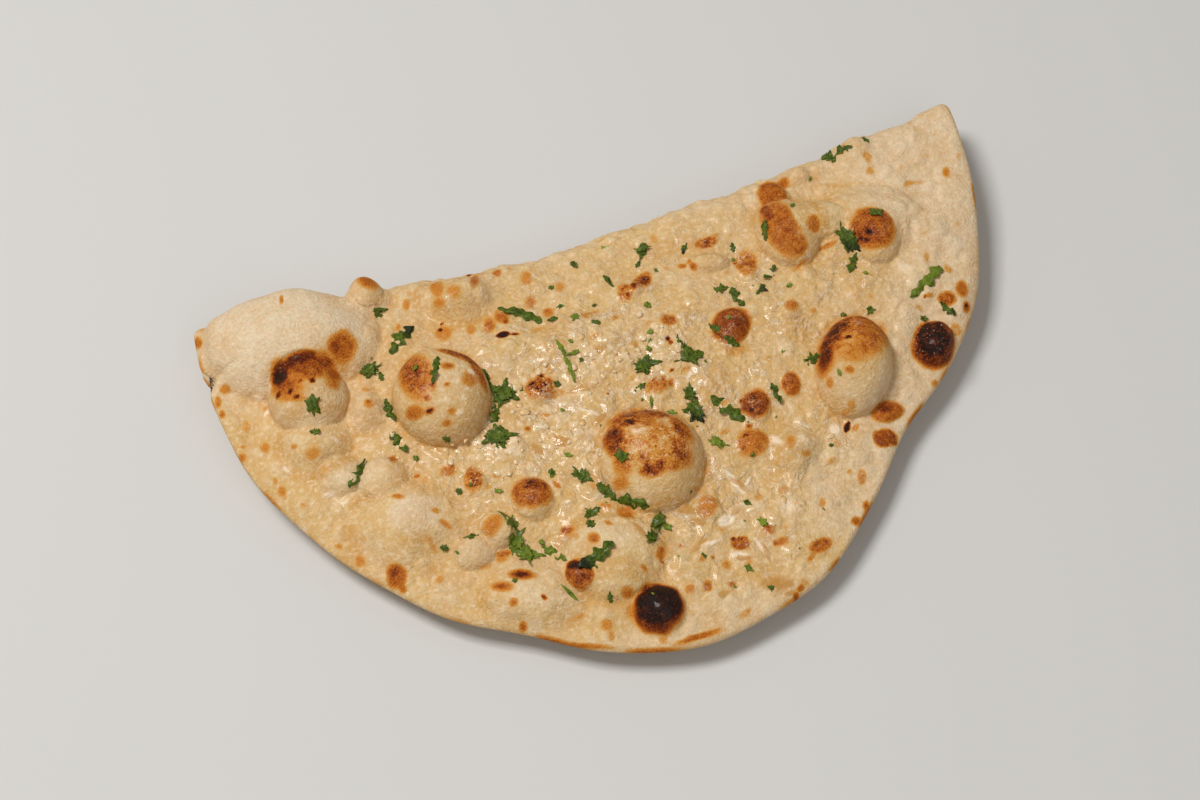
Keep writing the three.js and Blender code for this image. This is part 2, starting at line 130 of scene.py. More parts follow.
@dataclass(frozen=True)
class Herb:
    """A piece of coriander: its place, length, width and turn, how it was cut, its bend and its colour."""

    along: float
    over: float
    length: float
    width: float
    turn: float
    cut: Cut = Cut.LEAF
    bend: float = 0.0
    light: float = 0.0
    wilted: bool = False


@dataclass(frozen=True)
class Pool:
    """A thin pool of butter: its place, half sizes and turn."""

    along: float
    over: float
    half_along: float
    half_over: float
    turn: float


RIM_SHAPES = (
    RimShape("flat right shoulder", 57, 19, -13.4),
    RimShape("shallow front left dip", 112, 9, -2.4),
    RimShape("full left side", 153, 13, 3.2),
    RimShape("notch by the left corner", 170.4, 1.3, -3.4),
    RimShape("left tip, drawn in", 180, 6, -2),
)

SWELLS = (
    Rise("sag of the fold", -8, 8, 46, 15, -4),
    Rise("sag of the fold, right", 74, 8, 26, 12, -1.4),
    Rise("trough in front of the fold", -8, 25, 46, 8, -1.8, 4),
    Rise("ridge in front of the trough", -14, 41, 50, 10, 1.6, 4),
    Rise("trough behind the right plateau", 72, 18, 17, 6, -1.6),
    Rise("dip inside the left notch", -110, 34, 10, 10, -1.5, 30),
    Rise("right side, blown up a little", 96, 52, 20, 24, 1.2, -20),
    Rise("dip between the big blisters", 28, 98, 26, 18, -1),
)

BLISTERS = (
    Rise("smooth left corner bubble", -93, 15.5, 27, 18, 11, 8, Edge.FULL),
    Rise("tall burnt left blister", -93, 34.5, 11.8, 11.8, 10.5, 0, Edge.FULL),
    Rise("its low front foot", -95, 49, 11, 10, 6),
    Rise("small one between the left two", -78, 43, 6, 8, 4.6),
    Rise("left balloon", -56.5, 46.5, 14.3, 15.5, 14, 0, Edge.FULL),
    Rise("pale bump, left", -91, 60, 7, 6.5, 3.8, 0, Edge.FULL),
    Rise("pale bump, right", -80, 65, 7.5, 7, 3.8, 0, Edge.FULL),
    Rise("centre balloon", -5.5, 83.5, 15.6, 16, 11, 0, Edge.FULL),
    Rise("right balloon", 60.5, 74, 11.6, 16, 11.5, 30, Edge.FULL),
    Rise("brown shell by the fold", 58, 26.5, 10, 12.5, 8, 0, Edge.FULL),
    Rise("its pale right face", 67.5, 25.5, 9, 8, 6.4, 20, Edge.FULL),
    Rise("right plateau", 81, 31, 18.5, 13.5, 4, 20, Edge.FULL),
    Rise("brown dome on the plateau", 82, 38, 7.6, 8.6, 5.8, 0, Edge.FULL),
    Rise("brown blister on the fold", 59, 13.5, 5, 5, 2.5, 0, Edge.FULL),
    Rise("thumb behind the fold", -67, 6.5, 4.8, 4.8, 5.4, 0, Edge.FULL),
    Rise("foot of the thumb", -68, 7.5, 8.5, 7, 5.2),
    Rise("bump on the fold, left", -42, 15, 12, 9, 6.5, 12),
    Rise("bump behind the fold, right", 86, 5, 9, 7, 1.8),
    Rise("knob on the fold, right", 69, 8, 3.6, 3.6, 2.2),
    Rise("glossy brown blister", 30.5, 50.5, 5.8, 6, 3, 0, Edge.FULL),
    Rise("brown blister, front left", -41.5, 84, 6.4, 6.8, 4, 0, Edge.FULL),
    Rise("charred front blister", -18, 126, 7.7, 7.5, 4.5, 0, Edge.FULL),
    Rise("charred right blister", 87.5, 75, 6.2, 7.4, 5, 0, Edge.FULL),
    Rise("brown blister, right", 29, 77, 4.6, 4.8, 2.2, 0, Edge.FULL),
    Rise("orange blister by it", 24, 88, 5.8, 5.6, 2.2),
    Rise("pale blister, right", 35, 93, 8.5, 8, 3.4),
    Rise("small oval by the right balloon", 41, 74, 2.8, 4, 1.4, 0, Edge.FULL),
    Rise("speckled blister, left", -29, 53, 4.6, 4.4, 1.8, 0, Edge.FULL),
    Rise("pale front dome", -25.5, 107.5, 15.5, 13, 6, 10, Edge.FULL),
    Rise("brown blister on its flank", -36, 110, 4.2, 4.8, 4.4, 0, Edge.FULL),
    Rise("front left swelling", -54, 90, 5.2, 5.6, 4.6, 0, Edge.FULL),
    Rise("its lower lobe", -62, 94, 6.6, 5.4, 3.6, 0, Edge.FULL),
    Rise("front left mound", -50, 111.5, 15, 12, 5, 10),
    Rise("its left shoulder", -60, 108, 6, 5, 2),
    Rise("soft swelling, left", -77, 81, 17, 14, 5.6, 15),
    Rise("ring blister by the front", 5.5, 102, 4, 5, 1.6, 0, Edge.FULL),
    Rise("torn bubble by the fold", 32, 28, 7, 3.6, 3, 15, Edge.FULL),
    Rise("brown blister beside", 41.5, 34.5, 4.4, 4.4, 1.8, 0, Edge.FULL),
    Rise("dark ridge by the fold", 8, 29, 8, 5, 2.4, 12),
    Rise("small one in the middle", 4, 63, 4.4, 4, 1.4, 0, Edge.FULL),
    Rise("small one, right", 49.5, 51.5, 3.4, 3.4, 1.3, 0, Edge.FULL),
    Rise("small one, far left", -56, 74.5, 4.4, 4.4, 1.8, 0, Edge.FULL),
    Rise("swelling, far right", 98, 42, 8, 8, 1.8),
    Rise("brown one by the right rim", 66, 90, 4.4, 3.2, 1.6, -10, Edge.FULL),
    Rise("smaller one in front of it", 62, 98, 3.4, 3.2, 1.4, 0, Edge.FULL),
)

SPOTS = tuple(Spot(*row) for row in (
    # The left corner and its bubble.
    (-80, 23.5, 5, 4, 0.46, -56, 0.6, 0.1),
    (-82, 23, 3.6, 2.6, 0.54, -57, 0.8, 0.1),
    (-92, 8, 0.7, 0.4, 0.6),
    (-118.5, 7, 2.2, 1.6, 0.42, 78),
    (-115, 24, 2.2, 1.7, 0.3),
    (-118, 27.5, 2.2, 1, 0.38, -78),
    (-118, 31.5, 1.5, 1.1, 0.4, 87),
    (-109, 45, 2.3, 1.8, 0.28, -86),
    (-108, 59.5, 2, 1.4, 0.3, -81),
    (-109, 56, 1.5, 0.8, 0.25, -77),
    (-115, 43, 1, 0.8, 0.3),
    (-116, 46, 1.7, 1.2, 0.32, 86),
    (-101, 49, 1.4, 0.9, 0.3, 35),
    (-96.5, 53, 2.8, 2, 0.26, 12),
    # The tall burnt blister.
    (-97.2, 27.2, 4.6, 3.6, 0.8, 78, 0.8, 0.2),
    (-97.4, 28.6, 4.2, 2.8, 0.98, 78, 0.7),
    (-92.6, 26.2, 6.8, 3.4, 0.8, -14, 0.8, 0.15),
    (-92, 29, 5, 2.8, 0.58, -14, 0.8, 0.2),
    (-91, 31, 5.4, 3.2, 0.48, -10, 0.7, 0.2),
    (-87, 27.6, 5.4, 4.2, 0.56, -40, 0.8, 0.2),
    (-86, 31.5, 4, 3, 0.46, -71, 0.8, 0.1),
    (-87, 34.5, 2.6, 2, 0.36, -60, 0.8),
    (-96.8, 32.4, 5, 3.6, 0.52, 47, 0.8, 0.1),
    (-96.5, 36, 4, 1.4, 0.34, 27, 0.8),
    (-91.2, 34.2, 0.7, 0.6, 0.95),
    (-96, 35, 0.6, 0.6, 0.9),
    (-99, 34, 0.9, 0.6, 0.9),
    (-95, 36.6, 0.6, 0.5, 0.85),
    (-93.5, 33.5, 0.6, 0.5, 0.8),
    (-77, 43, 2, 1.7, 0.26, -56),
    (-77, 42.5, 1, 0.9, 0.42),
    # The left balloon.
    (-60.8, 42.5, 7.4, 4, 0.46, 84, 0.6, 0.3),
    (-61, 42.5, 5.2, 3, 0.56, 80, 0.8, 0.3),
    (-63.6, 51, 2.6, 1.6, 0.4, 12, 0.6),
    (-60, 51.8, 1.1, 0.6, 0.8, -7),
    (-56, 53.2, 1.1, 0.9, 0.34, 14),
    (-57.6, 55.2, 1.1, 0.9, 0.4, -7),
    (-55.4, 48, 0.7, 0.6, 0.5),
    (-57.2, 44.8, 0.7, 0.6, 0.6),
    (-58, 47.2, 0.7, 0.6, 0.6),
    (-59.6, 49.4, 0.7, 0.6, 0.6),
    (-49.5, 41, 5.6, 1.9, 0.56, 30, 0.5, 0.4),
    (-47, 46, 4.4, 2, 0.44, 76, 0.6, 0.3),
    (-50, 47.4, 2.6, 1.8, 0.34, -41, 0.7),
    (-54, 44.2, 1.6, 1, 0.44, 4),
    # Along the fold, left of the middle.
    (-66.4, 6.8, 2, 1.2, 0.44, 10, 0.6),
    (-57, 12.5, 2.3, 1.3, 0.3, -73),
    (-61.5, 19.5, 1.6, 0.9, 0.3, -75),
    (-49.5, 25, 3.8, 3, 0.3, -81, 0.6),
    (-50, 23.5, 0.9, 0.8, 0.95),
    (-49, 21.5, 0.7, 0.6, 0.8),
    (-47, 11, 5, 2.2, 0.32, 89, 0.6),
    (-43, 15, 3.1, 2.6, 0.28, 55, 0.7),
    (-48, 16.5, 2.4, 1.6, 0.3, 35),
    (-35.5, 11, 5, 1.5, 0.42, -71),
    (-36, 5.5, 2, 0.9, 0.75, -81),
    (-28, 9, 2.2, 1.5, 0.4, -84),
    (-20.5, 14, 3.5, 2.1, 0.28, -72),
    (-12, 20, 2.5, 1.8, 0.26, -76),
    (-31.5, 25, 2.8, 2.4, 0.42, 83),
    (-31, 27, 1.4, 1.2, 0.56, -88),
    (-36, 27, 3.4, 2.1, 0.44, -78),
    (-41.5, 26.5, 2.9, 1.8, 0.28, -76),
    (-22, 22.5, 2.4, 2, 0.36, -74),
    (-18, 27.5, 2, 1.8, 0.38, 79),
    (-33.5, 32, 1.9, 1.1, 1.0, 4, 0.3),
    (-30, 33, 1.5, 0.6, 0.85, 16),
    (-8, 33.5, 2.1, 1.6, 0.26, 9),
    (-0.5, 37, 1.5, 1.4, 0.3),
    (14, 43, 2.6, 2.1, 0.44, 23, 0.5, 0.2),
    # The fold, right of the middle.
    (5, 29.5, 3.2, 2.4, 0.46, -85, 0.6, 0.6),
    (11.5, 27, 3.8, 2.6, 0.5, -43, 0.5, 0.7),
    (8, 29, 1.8, 1.2, 0.72, -76),
    (24.5, 26, 1.8, 1.1, 0.4, 34),
    (27, 26, 1.4, 0.8, 0.34, 85),
    (34, 21, 3.8, 1.9, 0.48, 0, 0.5, 0.5),
    (34, 21, 1, 0.8, 0.66),
    (27.5, 28, 1.4, 1.1, 0.42, 60),
    (42.5, 32, 5.3, 3.6, 0.38, -72, 0.5, 0.6),
    (40, 30.5, 1, 0.7, 0.6),
    (58, 11.5, 5.4, 3.4, 0.46, -75, 0.3, 0.15),
    (63.5, 9, 2.6, 2.1, 0.44, -63),
    (50, 50, 2.6, 2.3, 0.4, -66),
    (56, 53.5, 1.3, 1, 0.24, 16),
    # The shell, the plateau and its dome.
    (58.5, 13.6, 4.4, 4, 0.44, 100, 0.25, 0.1),
    (55.6, 26.5, 9.4, 4.3, 0.44, 88, 0.4, 0.15),
    (57.4, 32.4, 3.4, 3.2, 0.42, 60, 0.4, 0.15),
    (54.2, 21, 6.4, 1.7, 0.6, 88, 0.6, 0.15),
    (64.6, 28.2, 2.5, 2, 0.4, -24, 0.5, 0.1),
    (57.8, 38, 3, 1, 0.3, -35),
    (67.2, 35.2, 3.8, 0.9, 0.36, 2),
    (81.4, 35.6, 6.2, 5.6, 0.48, 80, 0.3, 0.2, 0.2),
    (79.6, 37.4, 4, 4, 0.58, 60, 0.7, 0.2, 0.2),
    (80.2, 37.6, 1.3, 0.7, 1.0, 37),
    (77.8, 37.8, 1, 0.7, 0.95, 32),
    (78.8, 38.8, 0.9, 0.7, 0.9, 41),
    # The right side and corner.
    (111, 25, 2.3, 1.5, 0.32, -70),
    (95.5, 63, 2.8, 2.2, 0.48, 15, 0.5, 0.2),
    (100.5, 61.5, 2.9, 2.1, 0.42, -56, 0.6),
    (100, 67, 1.9, 1.5, 0.52, -60),
    (100, 66.5, 0.8, 0.7, 0.95),
    (90.5, 60.5, 1.5, 1, 0.3, 14),
    (89, 60.5, 0.6, 0.6, 0.7),
    (86, 75, 6.6, 5.8, 0.66, -59, 0.2, 0, 0.2),
    (85.6, 73.6, 5.8, 4.8, 0.94, -72, 0.4, 0.55, 0.3),
    (86.2, 78.8, 2.7, 1.4, 0.72, 20),
    (82.5, 85.5, 1.5, 1.3, 0.3),
    (65.5, 89.5, 4.9, 3.2, 0.44, 3, 0.3, 0, 0.2),
    (65, 89, 3.2, 2.4, 0.64, 18, 0.8, 0, 0.2),
    (61.5, 97, 3.4, 2.8, 0.56, 0, 0.3, 0.1, 0.2),
    (63.5, 99, 1.6, 1, 0.6),
    (52.5, 90.5, 1.8, 0.8, 1.0, -52, 0.3, 0, 0.4),
    (54.5, 91.5, 1.6, 0.9, 0.36, -36),
    (51, 106, 2.7, 1.5, 0.34, -70),
    (48, 103.5, 0.9, 0.7, 0.3),
    (49, 114.5, 1.7, 1.1, 0.44, -62),
    (44.5, 118, 1.6, 1.4, 0.46, -15),
    (37, 110, 1.8, 1.1, 0.26, -63),
    # The glossy blister and the right balloon.
    (31, 50.4, 6.1, 4.9, 0.54, -20, 0.2, 0.1),
    (32.4, 50.6, 4, 3.2, 0.64, -20, 0.8, 0.1),
    (30, 58, 5, 3, 0.2, 20, 0.9),
    (57.6, 66.6, 8.2, 3.8, 0.8, -42, 0.8, 0.2, 0.1),
    (62.4, 67.4, 9.8, 8, 0.42, -10, 0.4, 0.25, 0.1),
    (61, 64, 6, 4.4, 0.54, -30, 0.8, 0.35, 0.15),
    (68, 69, 8, 4.4, 0.36, -42, 0.6, 0.2),
    (53.6, 71.2, 5.2, 3, 0.76, -56, 0.8, 0.1),
    (61, 66.4, 3.4, 2.2, 0.3, -30, 0.9, 1),
    (52, 74, 2.3, 1.4, 0.36, -79),
    (52.2, 77.6, 1.5, 1.1, 0.32, -72),
    (57.2, 76.6, 1.1, 0.9, 0.38, 39),
    (60, 69.6, 0.9, 0.6, 1.0),
    (66, 63.6, 5, 3, 0.5, -60, 0.8, 0.2),
    (55.4, 84.2, 2.2, 1.3, 0.22, -82),
    # Right of the middle.
    (29, 76, 4.5, 4.1, 0.56, -51, 0.3, 0.2, 0.3),
    (28.6, 75, 2, 1.2, 0.4, -30, 0.8, 0.9),
    (27, 78, 0.7, 0.6, 0.95),
    (25.5, 73.5, 0.7, 0.6, 0.9),
    (24, 87, 4.9, 4.2, 0.39, 14, 0.35, 0.2, 0.3),
    (23, 84.5, 1.7, 0.6, 0.74, -11),
    (21, 88, 1, 0.7, 0.68),
    (25, 82, 1.4, 1, 0.5),
    (41, 73.5, 3.8, 2.8, 0.48, -62, 0.35, 0.1, 0.2),
    (34, 91, 3.1, 1.7, 0.28, -69),
    (37, 95.5, 2, 1.1, 0.26),
    (5, 101.5, 3.8, 3, 0.34, -54, 0.5, 0, 0.4),
    (19.5, 113, 2.3, 2, 0.4, -71),
    (19.5, 111.5, 0.9, 0.7, 0.56),
    (21.5, 117.5, 2.3, 1.4, 0.38),
    (20, 117.5, 0.9, 0.9, 0.56),
    (32, 122, 3.9, 2, 0.48, -7, 0.5, 0.2),
    (33.5, 122, 2.1, 1.1, 0.56, -17),
    (28, 124.5, 2.1, 1, 0.34, -37),
    (22, 132, 1.7, 1, 0.5, -30),
    (20, 134, 2.1, 1.2, 0.48, -69),
    (10.5, 114.5, 2.9, 2.1, 0.48, 17, 0.4, 0.3, 0.4),
    (9, 112.5, 0.8, 0.7, 0.95),
    (11.5, 113, 1.8, 0.6, 0.66, 16),
    (1.5, 116, 0.7, 0.6, 0.5),
    (-1.5, 115.5, 1.3, 0.8, 0.3, -65),
    (4.5, 119, 2, 1.8, 0.28, -58),
    (-8, 123, 1.9, 1.5, 0.34, -19),
    (-3, 123.5, 2, 1.5, 0.42, -65),
    (4, 125, 1.2, 0.9, 0.42),
    # The centre balloon.
    (-7.6, 69.8, 6.8, 3.8, 0.56, 0, 0.6, 0.3),
    (-1, 72, 6, 4, 0.54, 30, 0.6, 0.3),
    (3, 79.5, 3.8, 6.4, 0.5, 0, 0.8, 0.3),
    (0.4, 86, 4.2, 4.2, 0.46, 20, 0.8, 0.5),
    (-13.4, 76.5, 3.6, 6.4, 0.58, 0, 0.6, 0.3),
    (-7.6, 74, 7, 3.4, 0.46, 10, 0.6, 0.5),
    (-7, 87.6, 3.6, 2.4, 0.58, 0, 0.6, 0.6),
    (-2, 88.4, 4.6, 2, 0.42, 0, 0.9, 0.5),
    (-13.4, 84.4, 3.2, 4, 0.4, 0, 0.8, 0.3),
    (-15.4, 88.2, 3, 2.4, 0.36, 0, 0.9),
    (8, 90.5, 3.2, 1.4, 0.22, 60, 0.9),
    (3.6, 95.4, 3, 1.2, 0.2, 10, 0.9),
    (-5.2, 81.4, 9.6, 7.6, 0.32, 0, 0.6, 0.8),
    (-8.4, 73.8, 0.9, 0.8, 1.0),
    (-12.4, 75.4, 1, 0.8, 0.95),
    (-7.8, 75, 1.1, 0.9, 1.0),
    (4, 61.5, 3.8, 2.8, 0.34, 3, 0.5, 0.7, 0.4),
    (6, 60, 1.2, 0.8, 0.66),
    (8, 62, 1.7, 1.2, 0.44, -55),
    (11.5, 49, 1, 0.8, 1.0, -74),
    (12, 50.5, 0.7, 0.6, 0.9),
    (9.5, 58.5, 0.8, 0.5, 0.9),
    (-28.5, 52, 4.5, 4, 0.42, 3, 0.5, 0.9, 0.2),
    (-30.5, 50.5, 0.9, 0.7, 1.0),
    (-29.5, 52.5, 0.8, 0.6, 0.95),
    (-27, 48.5, 0.8, 0.6, 0.95),
    (-27, 52, 0.7, 0.6, 0.9),
    (-36, 63, 1.1, 0.9, 0.48),
    (-30, 60.5, 1.6, 0.7, 0.26, 15),
    (-10.5, 59.5, 0.6, 0.5, 0.7),
    # The front, left of the middle.
    (-41.5, 82.5, 5.6, 4.8, 0.48, 35, 0.4, 0.2, 0.1),
    (-40.5, 81, 3.8, 3.2, 0.68, 26, 0.8, 0.1, 0.1),
    (-40.5, 80.5, 1.1, 0.8, 0.95),
    (-37.5, 81.5, 1.2, 0.8, 0.72),
    (-55.5, 73, 4.1, 2.7, 0.42, -76, 0.4, 0.7, 0.4),
    (-61.5, 68.5, 2.5, 2.1, 0.4, 22),
    (-60, 67.5, 0.8, 0.7, 0.6),
    (-49, 74, 1.4, 1.2, 0.26),
    (-33.5, 82, 1.7, 0.8, 0.4, 71),
    (-75.5, 60.5, 1.8, 1.4, 0.46, -61),
    (-70.5, 67, 1.2, 0.7, 0.4),
    (-55, 89.5, 3.2, 2.4, 0.34, -37),
    (-67, 84.5, 2.4, 1.2, 0.34, 51),
    (-68.5, 80, 1.6, 1.2, 0.26, 50),
    (-77.5, 72.5, 2.4, 1.2, 0.38, 32),
    (-54, 97, 3.1, 1.1, 0.42, 5),
    (-55, 98, 2.4, 1.6, 0.28, -12),
    (-36, 110, 3.7, 3.5, 0.52, 57, 0.4, 0.2, 0.5),
    (-36, 108, 2.8, 1.4, 0.88, 40, 0.6, 0, 0.5),
    (-35, 110.5, 1, 0.7, 0.8),
    (-51.5, 105, 4, 1.8, 0.5, 24, 0.5),
    (-51.5, 105, 2.8, 1.1, 0.78, 21, 0.6),
    (-58, 106.5, 3.9, 1.9, 0.4, 23),
    (-58, 106.5, 1.9, 0.9, 0.52, 22),
    (-56, 112, 1.5, 1.3, 0.4),
    (-55.5, 118.5, 1.7, 1.4, 0.44, -68),
    (-47.5, 113.5, 0.9, 0.6, 0.78, 52),
    (-84.5, 94, 3.4, 3, 0.48, -80, 0.4),
    (-85, 92.5, 2.4, 2.2, 0.6, 0, 0.7, 0, 0.3),
    (-84, 97.5, 1.8, 1.3, 0.46, 63),
    (-93, 86, 2.1, 1.6, 0.34, -87),
    (-97.5, 80, 1.5, 1.1, 0.26, 32),
    # The front.
    (-35, 96, 2.5, 1.9, 0.42, 16),
    (-36, 95.5, 1.1, 0.8, 0.58, 24),
    (-29, 102.5, 2.1, 1.6, 0.4, 41),
    (-29, 103, 0.9, 0.7, 0.54),
    (-18, 96.5, 2.8, 2.5, 0.4, 52, 0.6),
    (-22.5, 92.5, 2.2, 0.9, 0.34, 32),
    (-24, 99, 1.6, 0.8, 0.3, 49),
    (-19, 113.5, 1.5, 0.8, 0.34, 49),
    (-6, 110, 0.6, 0.6, 0.5),
    (-13, 113, 0.7, 0.6, 0.5),
    (-12.5, 110.5, 2.5, 2, 0.4, -39),
    (-12, 110, 1.6, 1.1, 0.5, -58),
    (-25, 119, 2.2, 2, 0.38, 31, 0.7),
    (-24.6, 124, 3, 3.4, 0.34, 0, 0.8),
    (-18.3, 125.4, 6.7, 6.3, 0.68, -80, 0.18, 0, 0.2),
    (-18, 125, 5.9, 5.5, 1.0, 0, 0.25, 0.14, 0.3),
    (-33.5, 125.5, 2.1, 1.9, 0.3),
    (-44.5, 127.5, 13.9, 0.8, 0.36, 23, 0.6),
    (-10, 136.5, 8, 1, 0.45, 0, 0.6),
))

HERBS = (
    Herb(-92.5, 39, 5.2, 3.6, 95),
    Herb(-94, 47.5, 3, 1.8, 11, Cut.SHRED),
    Herb(-73.5, 31, 8, 5.6, 10),
    Herb(-71, 34, 2.8, 1.4, 90, Cut.SHRED),
    Herb(-62, 23.5, 12, 3.6, -41, Cut.SHRED, 12, wilted=True),
    Herb(-66, 13.5, 3.4, 1.8, 77, Cut.SHRED),
    Herb(-64.5, 12.5, 4, 1, 0, Cut.STEM),
    Herb(-72, 45.5, 8, 2.2, 84, Cut.SHRED, -14),
    Herb(-72, 56, 7.4, 2.6, 68, Cut.SHRED, 10),
    Herb(-56.5, 44.5, 6, 1.2, 117, Cut.SHRED),
    Herb(-59, 59, 2.2, 1.3, 49, Cut.SHRED),
    Herb(-39, 50.5, 10.6, 8.6, -12),
    Herb(-43.5, 56, 6.8, 2.2, 110, Cut.SHRED, 10),
    Herb(-42.5, 44.5, 6, 1.8, -99, Cut.SHRED),
    Herb(-45, 63, 11.4, 7.4, 9),
    Herb(-23.5, 52, 2.1, 1.5, 41, Cut.SHRED),
    Herb(-25.5, 26, 15, 3, 41, Cut.SHRED, 14),
    Herb(-18, 31, 4.4, 1.5, 16, Cut.STEM),
    Herb(-14, 27, 2.5, 2, 45),
    Herb(-11.5, 33, 4, 3.2, 53, light=0.4),
    Herb(-6.5, 37, 2.7, 1.6, 36, Cut.SHRED),
    Herb(-14.5, 47.5, 2, 1.6, 58),
    Herb(-5.5, 14, 3, 1.5, 75, Cut.SHRED),
    Herb(-14.5, 19.5, 2.3, 1.8, 38),
    Herb(10, 36, 2.3, 1.5, 45, Cut.SHRED, light=0.5),
    Herb(-19, 42.5, 6.4, 1.4, 80, Cut.STEM, light=0.9),
    Herb(-18.5, 49.5, 8, 1.3, 87, Cut.STEM, 10, light=0.9),
    Herb(-16.5, 45, 4.4, 1, -5, Cut.STEM, light=0.9),
    Herb(15.5, 16, 9, 3.4, 118),
    Herb(12.5, 20.5, 3, 1.2, 132, Cut.SHRED),
    Herb(5, 11.5, 3, 1.8, 34, light=0.9),
    Herb(2, 23.5, 5.2, 1.3, 72, Cut.STEM),
    Herb(27, 20.5, 3.6, 1.3, 124, Cut.SHRED, wilted=True),
    Herb(6, 49, 4.2, 1.6, 117, Cut.SHRED, light=0.5),
    Herb(2.5, 54.5, 9, 6.4, 3),
    Herb(14.5, 51.5, 6.4, 1.6, 94, Cut.SHRED),
    Herb(16, 56, 13, 5.6, 11),
    Herb(-1, 60.5, 4, 1.4, -18, Cut.SHRED),
    Herb(0.5, 66, 3.5, 1, 106, Cut.STEM, light=0.6),
    Herb(-15, 69, 2.7, 1.8, 4),
    Herb(12, 67, 6.4, 4.4, 97),
    Herb(11.5, 73, 9, 6.4, 82, wilted=True),
    Herb(21, 75.5, 13.5, 3.4, 56, Cut.SHRED, -8),
    Herb(5, 71, 3.2, 2.2, 35, light=0.7),
    Herb(14.5, 84, 7, 3, 30, light=0.6),
    Herb(51.5, 26, 5.4, 1.6, 108, Cut.SHRED),
    Herb(83.5, 33, 5, 4.4, -7),
    Herb(74, 36.4, 11, 7, 70, wilted=True),
    Herb(72.5, 43, 7, 2.2, 129, Cut.SHRED, -10),
    Herb(80, 5.5, 5.6, 2.6, 66, Cut.SHRED),
    Herb(84.5, 6.5, 5.6, 1.5, 4, Cut.SHRED, 12),
    Herb(92.5, 6, 2.6, 1.8, 58),
    Herb(48, 38, 5.6, 2.2, 149, Cut.SHRED, 16),
    Herb(43, 41.5, 5.2, 4.8, 51, wilted=True),
    Herb(41, 25, 3, 1.3, 98, Cut.SHRED),
    Herb(32.5, 38, 4.8, 2, 10, Cut.SHRED),
    Herb(35.5, 42, 7.4, 2.4, 76, Cut.SHRED, -12),
    Herb(91, 56.5, 14, 3.2, 152, Cut.SHRED, 8, light=0.4),
    Herb(94, 66, 5.8, 1.7, 60, Cut.SHRED),
    Herb(86.5, 66.5, 2.8, 2.2, 32),
    Herb(72, 59, 3.4, 2.6, 78),
    Herb(26, 50.5, 5.8, 1.7, 67, Cut.SHRED),
    Herb(29, 55.5, 5.2, 1.8, 47, Cut.SHRED, -10),
    Herb(50, 68.5, 6, 4.6, 24),
    Herb(36, 75, 6.6, 1.7, 83, Cut.SHRED, 14),
    Herb(-86, 61.5, 10, 2.7, 133, Cut.SHRED, 8),
    Herb(-60.5, 75.5, 2.2, 1.5, 61, Cut.SHRED),
    Herb(-61.5, 90.5, 4.6, 1.8, 21, Cut.SHRED),
    Herb(-69.5, 90.5, 2.5, 1.5, 29, Cut.SHRED),
    Herb(-33.5, 78, 2.6, 1.6, 45, Cut.SHRED),
    Herb(-27.5, 74.5, 3, 1.8, 34, light=0.8),
    Herb(-50, 79, 3, 1.8, 28, light=0.8),
    Herb(-50, 89.5, 8, 4, 49, light=0.2),
    Herb(-50, 94.5, 9.6, 4.8, 128, light=0.3),
    Herb(-48, 99, 11, 5, 27, light=0.35),
    Herb(-40.5, 101.5, 9, 2.2, 50, Cut.SHRED, light=0.4),
    Herb(-30, 107.5, 11.4, 3.2, 161, Cut.SHRED, 6, wilted=True),
    Herb(-13, 82.5, 4.8, 3.6, 54),
    Herb(-26, 81.5, 8, 3.8, 55),
    Herb(-21, 88.5, 7, 2.8, 60, Cut.SHRED),
    Herb(-15.5, 93.5, 11, 3, 27, Cut.SHRED, 8),
    Herb(-27, 93.5, 7, 2.8, -16),
    Herb(-28.5, 97.5, 3.2, 2, 68, Cut.SHRED),
    Herb(-10, 101.5, 7.6, 4.2, 127),
    Herb(-14, 106, 6.4, 3.6, 135),
    Herb(-8, 103.5, 4.2, 2.6, 56, light=0.4),
    Herb(-40.5, 114, 6, 1.1, 60, Cut.STEM, light=0.5),
    Herb(-30, 118.5, 3.2, 1.3, 101, Cut.SHRED),
    Herb(-0.5, 114.5, 2.8, 2.2, 80),
    Herb(16.5, 103.5, 3.2, 2.2, 42),
    Herb(18.5, 110.5, 4.2, 2.4, 65, light=0.9),
    Herb(10, 122, 3.2, 2.4, 48, light=0.3),
    Herb(14, 129.5, 2.6, 1.8, 59),
)
